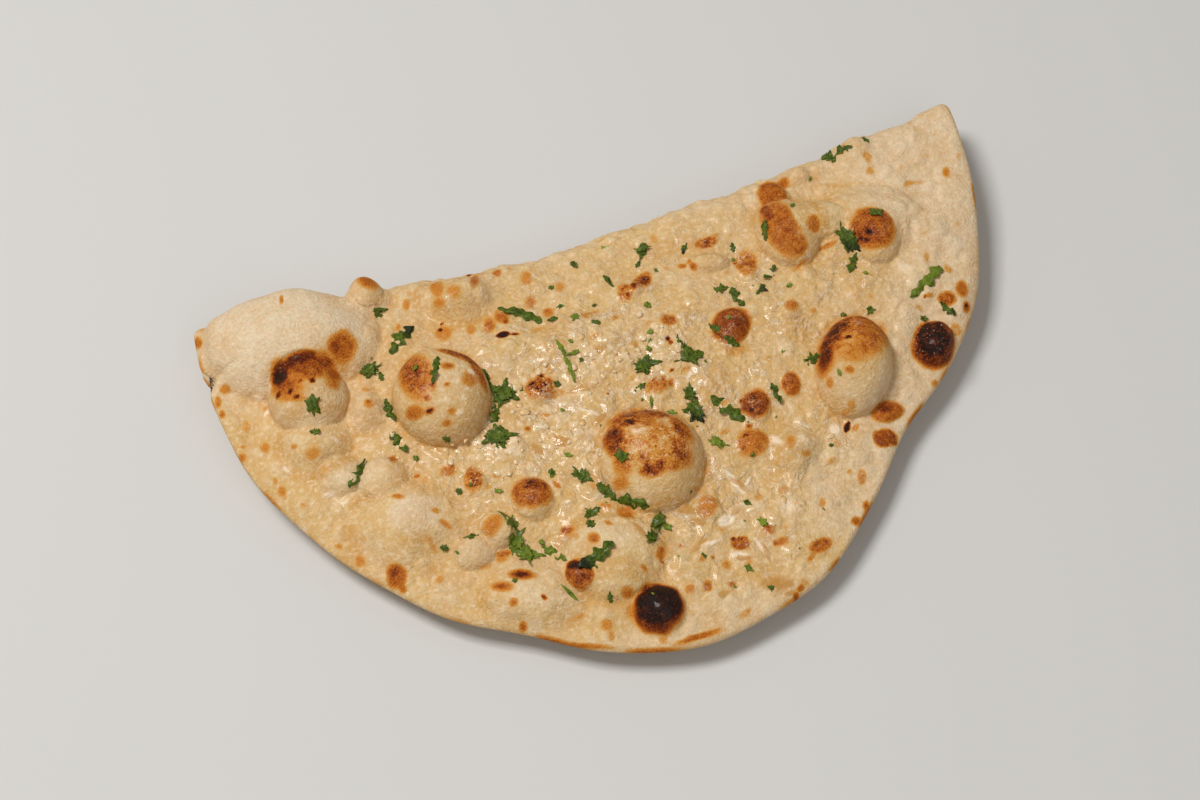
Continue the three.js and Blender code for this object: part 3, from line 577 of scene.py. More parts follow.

# Golden stains of butter and browning; many also paint shade, in the trough behind the plateau and round
# the feet of swellings.
STAINS_AND_SHADE = tuple(Spot(*row) for row in (
    (-104, 42, 9, 7, 0.4, 0, 0.9),
    (-98, 62, 11, 7, 0.5, 30, 0.9),
    (-86, 50, 6, 8, 0.6, 20, 0.9),
    (-70, 60, 9, 3, 0.6, 20, 0.9),
    (-54, 61, 9, 3, 0.6, 10, 0.9),
    (-74, 33, 3, 8, 0.6, 0, 0.9),
    (-86, 78, 14, 7, 0.4, 35, 0.9),
    (-70, 98, 13, 6, 0.5, 30, 0.9),
    (-86, 90, 8, 4, 0.6, 35, 0.9),
    (-64, 86, 3.4, 9, 0.55, 10, 0.9),
    (-86, 70, 12, 2.4, 0.55, 12, 0.9),
    (-40, 122, 18, 6, 0.35, 16, 0.9),
    (-44, 18, 14, 6, 0.5, 10, 0.9),
    (-22, 18, 9, 5, 0.45, 0, 0.9),
    (8, 22, 14, 5, 0.5, 0, 0.9),
    (30, 30, 9, 4, 0.55, 10, 0.9),
    (29, 58, 8, 4, 0.75, 20, 0.9),
    (42, 52, 10, 6, 0.5, 10, 0.9),
    (26, 64, 9, 5, 0.5, 0, 0.9),
    (81.5, 16.5, 18, 1.5, 0.85, 22, 0.9),
    (98, 28, 1.6, 4.4, 0.8, 0, 0.9),
    (91, 39, 11, 1.4, 0.75, -50, 0.9),
    (80, 49, 9, 3, 0.7, 0, 0.9),
    (66, 40, 9, 4, 0.6, -10, 0.9),
    (57, 93, 10, 3.4, 0.9, -8, 0.9),
    (52, 84, 4, 9, 0.6, 0, 0.9),
    (70, 84, 3, 8, 0.5, 0, 0.9),
    (-6, 97, 12, 3.4, 0.9, 6, 0.9),
    (6, 92, 3.4, 9, 0.8, 0, 0.9),
    (-20, 86, 3, 9, 0.6, 0, 0.9),
    (12, 124, 16, 5, 0.6, 0, 0.9),
    (16.5, 129.5, 6, 5, 1.0, 15, 0.8),
    (-14, 117, 12, 4, 0.6, 10, 0.9),
    (26, 110, 10, 8, 0.35, 0, 0.9),
    (40, 100, 8, 8, 0.35, 0, 0.9),
))

WORN = tuple(Spot(*row) for row in (
    (-7.2, 78.6, 3.2, 2, 0.9, 24, 0.7),
    (-4.4, 82.4, 4.4, 3.4, 0.6, 0, 0.9),
    (-9.4, 83.2, 2.8, 2.6, 0.6, 0, 0.9),
    (0.6, 77, 1.8, 1.4, 0.6, 0, 0.9),
    (59.4, 71, 4, 3, 0.6, -20, 0.9),
    (57, 68, 2.4, 1.8, 0.4, 0, 0.9),
))

# Painted highlights: pale patches where the butter's glare is painted into the crust's colour, a few of
# them pale bits on the left balloon.
GLARE_AND_PALE_BITS = tuple(Spot(*row) for row in (
    (-106.4, 29.2, 1.6, 0.6, 0.8, 30, 0.5),
    (-105.8, 34.6, 1.4, 0.6, 0.8, -40, 0.5),
    (-105, 53.8, 1.6, 0.6, 0.8, 60, 0.5),
    (-95.4, 64.8, 1.6, 0.7, 0.8, 10, 0.5),
    (-92, 68.4, 1.4, 0.6, 0.7, -20, 0.5),
    (-89.2, 50.6, 1.5, 0.6, 0.7, 45, 0.5),
    (15, 96, 3.4, 0.9, 1, 72, 0.4),
    (17, 99.4, 1.6, 1.1, 1, -10, 0.4),
    (18.6, 97.8, 2.4, 0.5, 1, -36, 0.4),
    (9, 106.8, 3, 1.5, 1, -10, 0.4),
    (13, 104, 2.6, 0.9, 1, -14, 0.4),
    (27.2, 108, 3.2, 4.2, 0.6, 0, 0.9),
    (48.6, 90.4, 1.8, 1.8, 0.8, 30, 0.4),
    (38, 91, 2, 2.6, 0.5, 0, 0.9),
    (30.6, 88.6, 2.4, 1.2, 0.8, 60, 0.5),
    (2.4, 112, 2.2, 0.7, 1, 0, 0.4),
    (9, 117.6, 2.6, 1, 1, 20, 0.4),
    (16, 117.6, 3.6, 0.6, 1, 70, 0.4),
    (-16.4, 56, 5.2, 0.5, 0.8, -4, 0.5),
    (14.6, 61, 2.4, 0.7, 0.8, -40, 0.5),
    (-17.6, 63.6, 4.4, 0.5, 0.8, 40, 0.5),
    (-21, 74.4, 2.4, 0.5, 0.8, -34, 0.5),
    (-49.2, 45.8, 0.9, 0.8, 0.9, 0, 0.5),
    (-54.4, 54, 0.8, 0.6, 0.7, 0, 0.5),
    (-51.4, 49.6, 0.6, 0.5, 0.7, 0, 0.5),
    (-52.8, 51.4, 0.6, 0.6, 0.6, 0, 0.5),
    (-56.4, 50.6, 0.6, 0.5, 0.6, 0, 0.5),
    (-42.2, 68.2, 2.6, 1.6, 0.5, 20, 0.6),
    (86.8, 50, 2.8, 1.8, 0.5, 40, 0.6),
    (-7.4, 78.4, 1.4, 0.9, 0.7, 24, 0.8),
    (64, 66.5, 0.7, 0.5, 0.6, 0, 0.5),
    (31, 49, 1.8, 0.5, 0.6, 10, 0.5),
))

POOLS = (
    Pool(-1, 100.5, 4.2, 1.6, 20),
    Pool(16.5, 129, 5.4, 2.4, 12),
    Pool(18.5, 132.5, 1.6, 0.9, 0),
    Pool(16.5, 98, 4.6, 1.2, 60),
    Pool(12.5, 104.5, 2.6, 1.2, -20),
    Pool(1, 105, 3.4, 1.3, 15),
    Pool(16.5, 119, 3.4, 0.9, 80),
    Pool(9, 118.5, 2.8, 1.1, 10),
    Pool(-0.5, 127, 3.2, 1.4, 5),
    Pool(-16.5, 56, 4.6, 1.6, 10),
    Pool(-15.5, 67, 3.4, 1.4, -30),
    Pool(-28.5, 69.5, 4.2, 1.8, 25),
    Pool(-8.5, 46.5, 3.6, 1.4, 0),
    Pool(-35, 70, 3, 1.5, 40),
    Pool(-16.5, 103.5, 3.2, 1.3, 70),
    Pool(-1, 111.5, 3.2, 1.4, -15),
)


def scatter(index: Array | int) -> tuple[Array, Array]:
    """Give an even scatter of places in the unit square, the same ones each time.

    Args:
        index: the number of the place, or an array of them.

    Returns:
        The two coordinates, each from 0 to 1.
    """
    along_step = 0.7548776662
    over_step = 0.569840291
    return (0.5 + index * along_step) % 1, (0.5 + index * over_step) % 1


def between(ends: Pair, share: Array | float) -> Array | float:
    """Go from the first end to the second by a share of 0 to 1."""
    return ends[0] + (ends[1] - ends[0]) * share


def ramp(value: Array, start: float, end: float) -> Array:
    """Rise smoothly from 0 at start to 1 at end.

    Args:
        value: the values to look up.
        start: where the rise starts.
        end: where it ends, which may be less than start.

    Returns:
        The smooth step of each value.
    """
    share = np.clip((value - start) / (end - start), 0, 1)
    return share * share * (3 - 2 * share)


def grain(along: Array, over: Array, size: float, layer: float) -> Array:
    """Look up smooth noise over the sheet.

    Args:
        along, over: places on the sheet.
        size: the length of one grain in millimetres.
        layer: tells one noise from another.

    Returns:
        Noise of about -1 to 1 at each place.
    """
    places = zip(along.ravel() / size, over.ravel() / size)
    values = [noise.noise((x, y, layer)) for x, y in places]
    return np.array(values).reshape(along.shape)


@dataclass(frozen=True)
class Patches:
    """Soft patches of noise over the sheet: their width, which noise it is, and the levels for 0 and 1."""

    size: float
    layer: float
    low: float
    high: float

    def at(self, along: Array, over: Array) -> Array:
        """Give the patches at places, from 0 to 1."""
        return ramp(grain(along, over, self.size, self.layer), self.low, self.high)


def cells(along: Array, over: Array, size: float, layer: float, slope: float = 0.45) -> Array:
    """Look up rounded cells over the sheet, such as a bed of small grains.

    Args:
        along, over: places on the sheet.
        size: the width of one cell in millimetres.
        layer: tells one bed of cells from another.
        slope: how far in from its edge a cell still rises, as a share of its width.

    Returns:
        The height of the cell at each place, from 0 in the gaps to 1 on its top.
    """
    places = zip(along.ravel() / size, over.ravel() / size)
    first = [noise.voronoi((x, y, layer))[0][:2] for x, y in places]
    gap = np.array([second - near for near, second in first])
    return ramp(gap, 0.0, slope).reshape(along.shape)


def turned(mark: Herb | Pool, right: Array, onward: Array) -> tuple[Array, Array]:
    """Turn a piece's own places as it lies, and move them to where it lies.

    Args:
        mark: the piece.
        right: places along it from its middle.
        onward: places across it.

    Returns:
        The places along and over the fold.
    """
    turn = math.radians(mark.turn)
    along = mark.along + right * math.cos(turn) - onward * math.sin(turn)
    over = mark.over + right * math.sin(turn) + onward * math.cos(turn)
    return along, over


@dataclass
class FoldedSheet:
    """The form of the dough: a rounded sheet folded in two, with its blisters."""

    fold_half: float = 121.0
    top_reach: float = 139.5
    under_reach: float = 129.0
    dough: float = 3.6
    thinnest: float = 2.2
    rim_round: float = 2.2
    fold_radius_middle: float = 7.5
    fold_radius_end: float = 3.6
    leaf_spacing: float = 4.7
    floor_to_middle: float = 3.6
    corner_set_back: Pair = (7.0, 5.5)
    corner_lift: Pair = (8.0, 5.0)
    corner_lift_reach: float = 60.0
    corner_margin: float = 0.03
    lean_limit: float = 1.1
    box_middle: Pair = (0.46, -62.96)
    rim_ripples: tuple[Triple, ...] = ((11, 0.5, 1), (23, 0.35, 2))
    undulations: tuple[tuple[float, float, float, float], ...] = (
        (0.21, 0.07, 0.4, 0.32),
        (-0.09, 0.24, 1.9, 0.32),
        (0.31, 0.27, 3.1, 0.22),
        (0.4, -0.17, 5.2, 0.2),
    )
    soft_power: float = 1.6
    under_count: int = 26
    under_half: Pair = (9, 15)
    under_height: Pair = (2.2, 3.6)
    under_margin: float = 0.9
    under_set_forward: float = 15.0
    under_narrowness: float = 0.85
    under_turn_step: float = 40.0
    blister_fade: float = 6.0
    slope_step: float = 0.4
    under_rises: tuple[Rise, ...] = field(init=False)

    def __post_init__(self) -> None:
        """Lay out the under leaf's blisters."""
        self.under_rises = tuple(self._under_rise(index) for index in range(self.under_count))

    def _under_rise(self, index: int) -> Rise:
        """Place one low blister of the under leaf.

        Args:
            index: its number in the scatter.

        Returns:
            The blister.
        """
        first, second = scatter(index)
        angle = -math.pi * first
        radius = self.under_margin * float(self.rim_radius(np.array(angle))) * math.sqrt(second)
        third, fourth = scatter(index + self.under_count)
        size = between(self.under_half, third)
        height = between(self.under_height, fourth)
        along = radius * math.cos(angle)
        over = radius * math.sin(angle) - self.under_set_forward
        width = size * self.under_narrowness
        return Rise("under", along, over, size, width, height, self.under_turn_step * index)

    def rim_radius(self, angle: Array) -> Array:
        """Measure from the middle of the fold to the rim.

        Args:
            angle: directions on the sheet, in radians from the fold's right end.

        Returns:
            The distance to the rim in each direction.
        """
        reach = np.where(np.sin(angle) >= 0, self.top_reach, self.under_reach)
        radius = 1 / np.hypot(np.cos(angle) / self.fold_half, np.sin(angle) / reach)
        for shape in RIM_SHAPES:
            away = (np.abs(angle) - math.radians(shape.angle)) / math.radians(shape.spread)
            radius = radius + shape.out * np.exp(-away * away)
        for count, size, phase in self.rim_ripples:
            radius = radius + size * np.abs(np.sin(angle)) * np.sin(count * angle + phase)
        return radius

    def share_of_rim(self, along: Array, over: Array) -> Array:
        """Give places' distances from the middle of the fold as shares of the rim's."""
        return np.hypot(along, over) / self.rim_radius(np.arctan2(over, along))

    def middle(self, along: Array, over: Array) -> Array:
        """Place points on the dough's middle surface.

        Args:
            along, over: places on the sheet.

        Returns:
            The points, in millimetres in the part's frame.
        """
        share = along / self.fold_half
        narrowing = self.fold_radius_end - self.fold_radius_middle
        radius = self.fold_radius_middle + narrowing * np.minimum(share * share, 1)
        quarter = radius * math.pi / 2
        turn = np.clip(over / radius, -math.pi / 2, math.pi / 2)
        past = np.maximum(np.abs(over) - quarter, 0)
        forward = radius * (1 - np.cos(turn)) + past
        height = self.floor_to_middle + radius + radius * np.sin(turn)
        start = np.minimum(self.share_of_rim(along, quarter), 1)
        lean = (self.share_of_rim(along, over) - start) / (1 - start + self.corner_margin)
        lean = np.clip(lean, 0, self.lean_limit)
        height = height - np.where(over > quarter, (2 * radius - self.leaf_spacing) * lean**2, 0)
        lift = np.abs(share) ** 3 * np.exp(-((forward / self.corner_lift_reach) ** 2))
        height = height + np.where(along > 0, *self.corner_lift) * lift
        set_back = np.where(along > 0, *self.corner_set_back)
        back = set_back * share * share - forward
        return np.stack([along - self.box_middle[0], back - self.box_middle[1], height], -1)

    def outward(self, along: Array, over: Array) -> Array:
        """Find which way is out of the dough.

        Args:
            along, over: places on the sheet.

        Returns:
            The unit directions.
        """
        step = self.slope_step
        sideways = self.middle(along + step, over) - self.middle(along - step, over)
        onward = self.middle(along, over + step) - self.middle(along, over - step)
        direction = np.cross(onward, sideways)
        return direction / np.linalg.norm(direction, axis=-1, keepdims=True)

    @staticmethod
    def share_of_half(mark: Rise | Spot, along: Array, over: Array) -> Array:
        """Measure places' distances from a mark's middle, as shares of its half sizes.

        Args:
            mark: the blister, swelling or spot.
            along, over: places on the sheet.

        Returns:
            The shares, 1 on the mark's edge.
        """
        turn = math.radians(mark.turn)
        right, on = along - mark.along, over - mark.over
        lengthwise = right * math.cos(turn) + on * math.sin(turn)
        across = on * math.cos(turn) - right * math.sin(turn)
        return np.hypot(lengthwise / mark.half_along, across / mark.half_over)

    def blow(self, along: Array, over: Array) -> tuple[Array, Array, Array]:
        """Blow up the blisters under places on the sheet.

        A full blister is the cap of a ball, whose skin spreads from its middle, so that its sides can stand
        steeply. The others only rise. Blisters that meet blend into each other.

        Args:
            along, over: places on the sheet.

        Returns:
            The places along and over the fold to which the skin has spread, and its heights.
        """
        cubes = np.zeros_like(along)
        for rise in BLISTERS + self.under_rises:
            share = np.minimum(self.share_of_half(rise, along, over), 1)
            if rise.edge is Edge.SOFT:
                cubes += (rise.height * (1 - share**2) ** self.soft_power) ** 3
                continue
            foot = 2 * math.atan2(2 * rise.height, rise.half_along + rise.half_over)
            height = rise.height * (np.cos(foot * share) - math.cos(foot)) / (1 - math.cos(foot))
            cubes += height**3
            spread = np.sin(foot * share) / math.sin(foot) / np.maximum(share, SMALLEST)
            spread = np.where(share < SMALLEST, foot / math.sin(foot), spread)
            spread = np.where(share < 1, spread, 1)
            along = rise.along + (along - rise.along) * spread
            over = rise.over + (over - rise.over) * spread
        height = np.cbrt(cubes)
        for swell in SWELLS:
            height += swell.height * np.exp(-self.share_of_half(swell, along, over) ** 2)
        for along_rate, over_rate, phase, size in self.undulations:
            height += size * np.sin(along_rate * along + over_rate * over + phase)
        return along, over, height

    def point(self, along: Array, over: Array, side: int, extra: Array | float = 0) -> Array:
        """Place points on one face of the dough.

        Args:
            along, over: places on the sheet.
            side: 1 for the outer face, -1 for the inner.
            extra: fine relief added to the outer face.

        Returns:
            The points, in millimetres.
        """
        share = np.minimum(self.share_of_rim(along, over), 1)
        from_rim = (1 - share) * self.rim_radius(np.arctan2(over, along))
        thinning = 1 - np.minimum(from_rim / self.rim_round, 1)
        offset = self.dough / 2 * np.sqrt(1 - thinning**2)
        fade = ramp(from_rim, 0, self.blister_fade)
        spread_along, spread_over, height = self.blow(along, over)
        if side > 0:
            along = along + (spread_along - along) * fade
            over = over + (spread_over - over) * fade
            offset = offset + (height + extra) * fade
        else:
            offset = offset + np.maximum(self.thinnest - self.dough - height, 0) * fade
        raised = self.middle(along, over) + self.outward(along, over) * (side * offset)[..., None]
        raised[..., 2] = np.maximum(raised[..., 2], 0)
        return raised


def linear(red: float, green: float, blue: float) -> Colour:
    """Turn a screen colour into the linear colour that a shader takes.

    Args:
        red, green, blue: its channels, from 0 to 255.

    Returns:
        The linear colour, opaque.
    """
    channels = []
    for value in (red, green, blue):
        share = value / 255
        channels.append(share / 12.92 if share <= 0.04045 else ((share + 0.055) / 1.055) ** 2.4)
    return *channels, 1.0


class Graph:
    """Builds a tree of shader nodes step by step, so that a finish reads as a list of layers."""

    def __init__(self, tree: bpy.types.NodeTree) -> None:
        """Take the tree to build in."""
        self.tree = tree

    def node(self, kind: str, **values: object) -> bpy.types.Node:
        """Add a node, with its inputs given by name, underscores standing for spaces.

        Args:
            kind: the node's type.
            values: the values or output sockets of its inputs, or its own settings.

        Returns:
            The new node.
        """
        made = self.tree.nodes.new(kind)
        for name, value in values.items():
            self.feed(made, name, value)
        return made

    def feed(self, made: bpy.types.Node, name: str, value: object) -> None:
        """Set one setting or input of a node, or link a socket into it.

        Args:
            made: the node.
            name: the setting's or input's name, underscores standing for spaces.
            value: a plain value or an output socket.
        """
        if hasattr(made, name):
            setattr(made, name, value)
        else:
            self.plug(made.inputs[name.replace("_", " ")], value)

    def plug(self, socket: Socket, value: object) -> None:
        """Give an input its value, or link an output socket into it.

        Args:
            socket: the input.
            value: a plain value or an output socket.
        """
        if isinstance(value, Socket):
            self.tree.links.new(value, socket)
        else:
            socket.default_value = value

    def maths(self, operation: str, *values: object) -> Socket:
        """Work out a value from others.

        Args:
            operation: the Math node's operation.
            values: numbers or sockets, in order.

        Returns:
            The result's socket.
        """
        made = self.node("ShaderNodeMath", operation=operation)
        for socket, value in zip(made.inputs, values):
            self.plug(socket, value)
        return made.outputs[0]

    def span(self, value: object, low: object, high: object) -> Socket:
        """Stretch a value so that it runs from 0 at low to 1 at high.

        Args:
            value: the value's socket.
            low: what gives 0.
            high: what gives 1.

        Returns:
            The result's socket, kept between 0 and 1.
        """
        made = self.node("ShaderNodeMapRange", Value=value, From_Min=low, From_Max=high)
        return made.outputs["Result"]

    def mix(self, share: object, first: object, second: object) -> Socket:
        """Blend two colours.

        Args:
            share: how much of the second shows, as a number or a socket.
            first: a colour or a socket.
            second: a colour or a socket.

        Returns:
            The blend's socket.
        """
        made = self.node("ShaderNodeMix", data_type="RGBA")
        share_input, first_input, second_input = made.inputs[0], made.inputs[6], made.inputs[7]
        self.plug(share_input, share)
        self.plug(first_input, first)
        self.plug(second_input, second)
        return made.outputs[2]


@dataclass(frozen=True)
class Layer:
    """A layer of fine noise: its grains' width, the levels for 0 and 1, its finer layers and its twist."""

    size: float
    low: float = 0.3
    high: float = 0.7
    detail: float = 2.0
    swirl: float = 0.0


@dataclass(frozen=True)
class Grain:
    """The noise that every finish shares, as one group of nodes."""

    name: str = "grain"

    def tree(self) -> bpy.types.NodeTree:
        """Find the group, or build it the first time.

        Returns:
            The group, with what a layer says in, in millimetres, and a mask out.
        """
        found = bpy.data.node_groups.get(self.name)
        if found is not None:
            return found
        tree = bpy.data.node_groups.new(self.name, "ShaderNodeTree")
        kind = "NodeSocketFloat"
        for entry in fields(Layer):
            tree.interface.new_socket(name=entry.name.title(), in_out="INPUT", socket_type=kind)
        tree.interface.new_socket(name="Mask", in_out="OUTPUT", socket_type=kind)
        graph = Graph(tree)
        given = graph.node("NodeGroupInput").outputs
        place = graph.node("ShaderNodeTexCoord").outputs["Object"]
        scale = graph.maths("DIVIDE", 1 / METRES, given["Size"])
        finer = {"Detail": given["Detail"], "Distortion": given["Swirl"]}
        made = graph.node("ShaderNodeTexNoise", Vector=place, Scale=scale, **finer)
        mask = graph.span(made.outputs["Fac"], given["Low"], given["High"])
        graph.node("NodeGroupOutput", Mask=mask)
        return tree


class Shades(Graph):
    """Builds a material round a Principled shader."""

    def __init__(self, name: str, roughness: float) -> None:
        """Start a material.

        Args:
            name: the material's name.
            roughness: the shader's own roughness, where no node feeds it.
        """
        self.material = bpy.data.materials.new(name)
        self.material.use_nodes = True
        super().__init__(self.material.node_tree)
        self.shader = self.tree.nodes["Principled BSDF"]
        self.shader.inputs["Roughness"].default_value = roughness

    def attribute(self, name: str) -> Socket:
        """Read one of the mesh's own values, as laid down by the piece that uses it."""
        return self.node("ShaderNodeAttribute", attribute_name=name).outputs["Fac"]

    def grain(self, layer: Layer) -> Socket:
        """Make a layer of fine noise over the piece.

        Args:
            layer: the layer.

        Returns:
            A socket from 0 to 1.
        """
        made = self.node("ShaderNodeGroup", node_tree=Grain().tree())
        for name, value in asdict(layer).items():
            made.inputs[name.title()].default_value = value
        return made.outputs["Mask"]

    def set(self, **values: object) -> None:
        """Set or feed the shader's inputs, given by name, underscores standing for spaces."""
        for name, value in values.items():
            self.feed(self.shader, name, value)

    def bump(self, height: Socket, depth: float, strength: float = 1.0) -> None:
        """Feed the shader's normal from a height.

        Args:
            height: the height's socket.
            depth: the height of 1 in millimetres.
            strength: the bump's strength.
        """
        made = self.node("ShaderNodeBump", Strength=strength, Distance=depth * METRES, Height=height)
        self.set(Normal=made.outputs["Normal"])


@dataclass(frozen=True)
class CrustFinish:
    """Baked dough: cream to golden, browned and charred by place, floury where dry, glossy where buttered,
    with painted highlights and painted shade in its colour.

    A pair whose name ends in "gain" says how much something gains as its cause goes from 0 to 1, and what
    it is at 0. Other pairs say where something starts and ends. Reliefs are shares of the bump's depth.
    """

    cream: Colour = linear(228, 197, 141)
    # Floury colour, also used for painted light on the tops of lumps and swellings.
    flour_and_light: Colour = linear(229, 206, 172)
    buttered: Colour = linear(227, 190, 126)
    tan: Colour = linear(200, 154, 96)
    pearl: Colour = linear(252, 228, 194)
    # Golden colour, also used for painted shade at the feet, on the flanks, in troughs and between lumps.
    gold_and_shade: Colour = linear(204, 150, 72)
    crumb: Colour = linear(250, 223, 186)
    # The painted highlight colour of the butter's glints and glare.
    painted_highlight: Colour = linear(255, 232, 200)
    browning: tuple[tuple[float, Colour], ...] = (
        (0.1, linear(214, 164, 92)),
        (0.28, linear(206, 134, 50)),
        (0.42, linear(182, 100, 26)),
        (0.56, linear(144, 66, 14)),
        (0.76, linear(86, 32, 9)),
        (0.98, linear(32, 15, 8)),
    )
    browning_from: Pair = (0.03, 0.2)
    charred_from: Pair = (0.74, 0.95)
    dry_roughness: float = 0.78
    wet_roughness: float = 0.34
    blotches: Layer = Layer(2.0)
    blotch_gain: Pair = (0.9, 0.2)
    stipple: Layer = Layer(0.5, detail=1.0)
    stipple_gain: Pair = (0.3, 0.34)
    swing_gain: Pair = (-0.75, 1.4)
    black_grit: Layer = Layer(0.8, 0.64, 0.7, 1.0)
    black_depth: float = 0.25
    pale_grit: Layer = Layer(0.75, 0.66, 0.72, 1.0)
    pale_gain: Pair = (-0.48, 0.7)
    butter_tint: float = 0.3
    mottles: tuple[tuple[Layer, float, Colour], ...] = (
        (Layer(5.0, 0.4, 0.7, 3.0), 0.26, gold_and_shade),
        (Layer(1.3, 0.48, 0.74), 0.48, pearl),
        (Layer(0.9, 0.52, 0.76), 0.45, tan),
    )
    garlic_from: Pair = (0.25, 0.8)
    garlic_tint: float = 0.62
    # The swirls and curl settings draw the painted glint curls.
    swirls: Layer = Layer(3.4, 0.0, 1.0, 2.0, 2.6)
    curl_edge: Pair = (0.055, 0.015)
    curl_groups: Layer = Layer(5.0, 0.5, 0.6)
    curl_strength: float = 0.8
    curl_end: Pair = (0.7, 0.2)
    curl_relief: float = 0.7
    glare_breaks: Layer = Layer(1.1, 0.2, 0.36)
    butter_coat_gain: Pair = (-0.45, 0.42)
    char_coat: float = 0.16
    wrinkles: Layer = Layer(2.0, swirl=1.4)
    wrinkle_gain: Pair = (0.1, 0.3)
    film: Layer = Layer(4.2, detail=1.0, swirl=2.2)
    pores: Layer = Layer(0.7)
    pore_gain: Pair = (-0.3, 0.36)
    char_flakes: Layer = Layer(1.6)
    char_relief: float = 0.55
    bump_depth: float = 0.5

    def toasted(self, shades: Shades, toast: Socket) -> Socket:
        """Break up the browning into the stipple of a crust that met the oven's wall.

        Args:
            shades: the material.
            toast: how browned each place is.

        Returns:
            The broken browning.
        """
        grit = shades.attribute("grit")
        swing: object = 0.0
        for layer, gain in ((self.blotches, self.blotch_gain), (self.stipple, self.stipple_gain)):
            wave = shades.maths("SUBTRACT", shades.grain(layer), 0.5)
            swing = shades.maths("MULTIPLY_ADD", wave, shades.maths("MULTIPLY_ADD", grit, *gain), swing)
        share = shades.maths("MULTIPLY", toast, shades.maths("MULTIPLY_ADD", toast, *self.swing_gain))
        broken = shades.maths("MULTIPLY_ADD", swing, share, toast)
        black = shades.maths("MULTIPLY", shades.grain(self.black_grit), grit)
        return shades.maths("MULTIPLY_ADD", black, self.black_depth, broken)

    def dough(self, shades: Shades, wet: Socket) -> Socket:
        """Colour the dough where it isn't browned.

        Args:
            shades: the material.
            wet: how wet with butter each place is.

        Returns:
            The colour's socket.
        """
        # The flour and gold attributes also carry painted light and painted shade.
        base = shades.mix(shades.attribute("flour_and_light"), self.cream, self.flour_and_light)
        base = shades.mix(shades.maths("MULTIPLY", wet, self.butter_tint), base, self.buttered)
        base = shades.mix(shades.attribute("gold_and_shade"), base, self.gold_and_shade)
        for layer, strength, tone in self.mottles:
            base = shades.mix(shades.maths("MULTIPLY", shades.grain(layer), strength), base, tone)
        crumbs = shades.span(shades.attribute("garlic"), *self.garlic_from)
        return shades.mix(shades.maths("MULTIPLY", crumbs, self.garlic_tint), base, self.crumb)

    def browned(self, shades: Shades, broken: Socket) -> Socket:
        """Colour the dough where it's browned.

        Args:
            shades: the material.
            broken: how browned each place is.

        Returns:
            The colour's socket.
        """
        made = shades.node("ShaderNodeValToRGB", Fac=broken)
        steps = made.color_ramp.elements
        (first_place, first), *middle, (last_place, last) = self.browning
        steps[0].position, steps[0].color = first_place, first
        steps[1].position, steps[1].color = last_place, last
        for place, tone in middle:
            steps.new(place).color = tone
        return made.outputs["Color"]

    def glint_curls(self, shades: Shades, wet: Socket) -> Socket:
        """Paint the butter's glints where it's wet, as thin pale curls, and add the glare patches: painted
        highlights in the colour.

        Args:
            shades: the material.
            wet: how wet with butter each place is.

        Returns:
            The curls, from 0 to 1.
        """
        swirl = shades.grain(self.swirls)
        from_line = shades.maths("ABSOLUTE", shades.maths("SUBTRACT", swirl, 0.5))
        line = shades.span(from_line, *self.curl_edge)
        line = shades.maths("MULTIPLY", line, shades.grain(self.curl_groups))
        line = shades.maths("MULTIPLY", line, shades.maths("MULTIPLY", wet, self.curl_strength))
        # The glare patches are painted highlights, mixed into the colour with the glint curls.
        glare_and_pale_bits = shades.maths("MULTIPLY", shades.attribute("glare_and_pale_bits"), shades.grain(self.glare_breaks))
        return shades.maths("MAXIMUM", line, glare_and_pale_bits)

    def make(self) -> bpy.types.Material:
        """Build the material.

        Returns:
            The crust's material.
        """
        shades = Shades("baked crust", self.dry_roughness)
        wet = shades.attribute("butter")
        broken = self.toasted(shades, shades.attribute("toast"))
        charred = shades.span(broken, *self.charred_from)
        shown = shades.span(broken, *self.browning_from)
        colour = shades.mix(shown, self.dough(shades, wet), self.browned(shades, broken))
        pale = shades.maths("MULTIPLY", shades.grain(self.pale_grit), shades.attribute("grit"))
        pale = shades.maths("MULTIPLY", pale, shades.maths("MULTIPLY_ADD", charred, *self.pale_gain))
        colour = shades.mix(pale, colour, self.crumb)
        glint_curls = shades.maths("MULTIPLY", self.glint_curls(shades, wet), shades.span(broken, *self.curl_end))
        moist = shades.maths("MULTIPLY", wet, shades.maths("MULTIPLY_ADD", broken, *self.butter_coat_gain))
        drop = self.wet_roughness - self.dry_roughness
        shades.set(
            # The glint curls and glare patches paint highlights into the base colour.
            Base_Color=shades.mix(glint_curls, colour, self.painted_highlight),
            Roughness=shades.maths("MULTIPLY_ADD", wet, drop, self.dry_roughness),
            Coat_Weight=shades.maths("MAXIMUM", moist, shades.maths("MULTIPLY", charred, self.char_coat)),
            Coat_Roughness=0.12,
            Specular_IOR_Level=0.14,
            Subsurface_Weight=0.12,
            Subsurface_Scale=0.0015,
        )
        height = shades.maths("MULTIPLY", glint_curls, self.curl_relief)
        for layer, relief in (
            (self.wrinkles, shades.maths("MULTIPLY_ADD", wet, *self.wrinkle_gain)),
            (self.film, wet),
            (self.pores, shades.maths("MULTIPLY_ADD", wet, *self.pore_gain)),
            (self.char_flakes, shades.maths("MULTIPLY", charred, self.char_relief)),
        ):
            height = shades.maths("MULTIPLY_ADD", shades.grain(layer), relief, height)
        shades.bump(height, self.bump_depth, strength=0.75)
        return shades.material


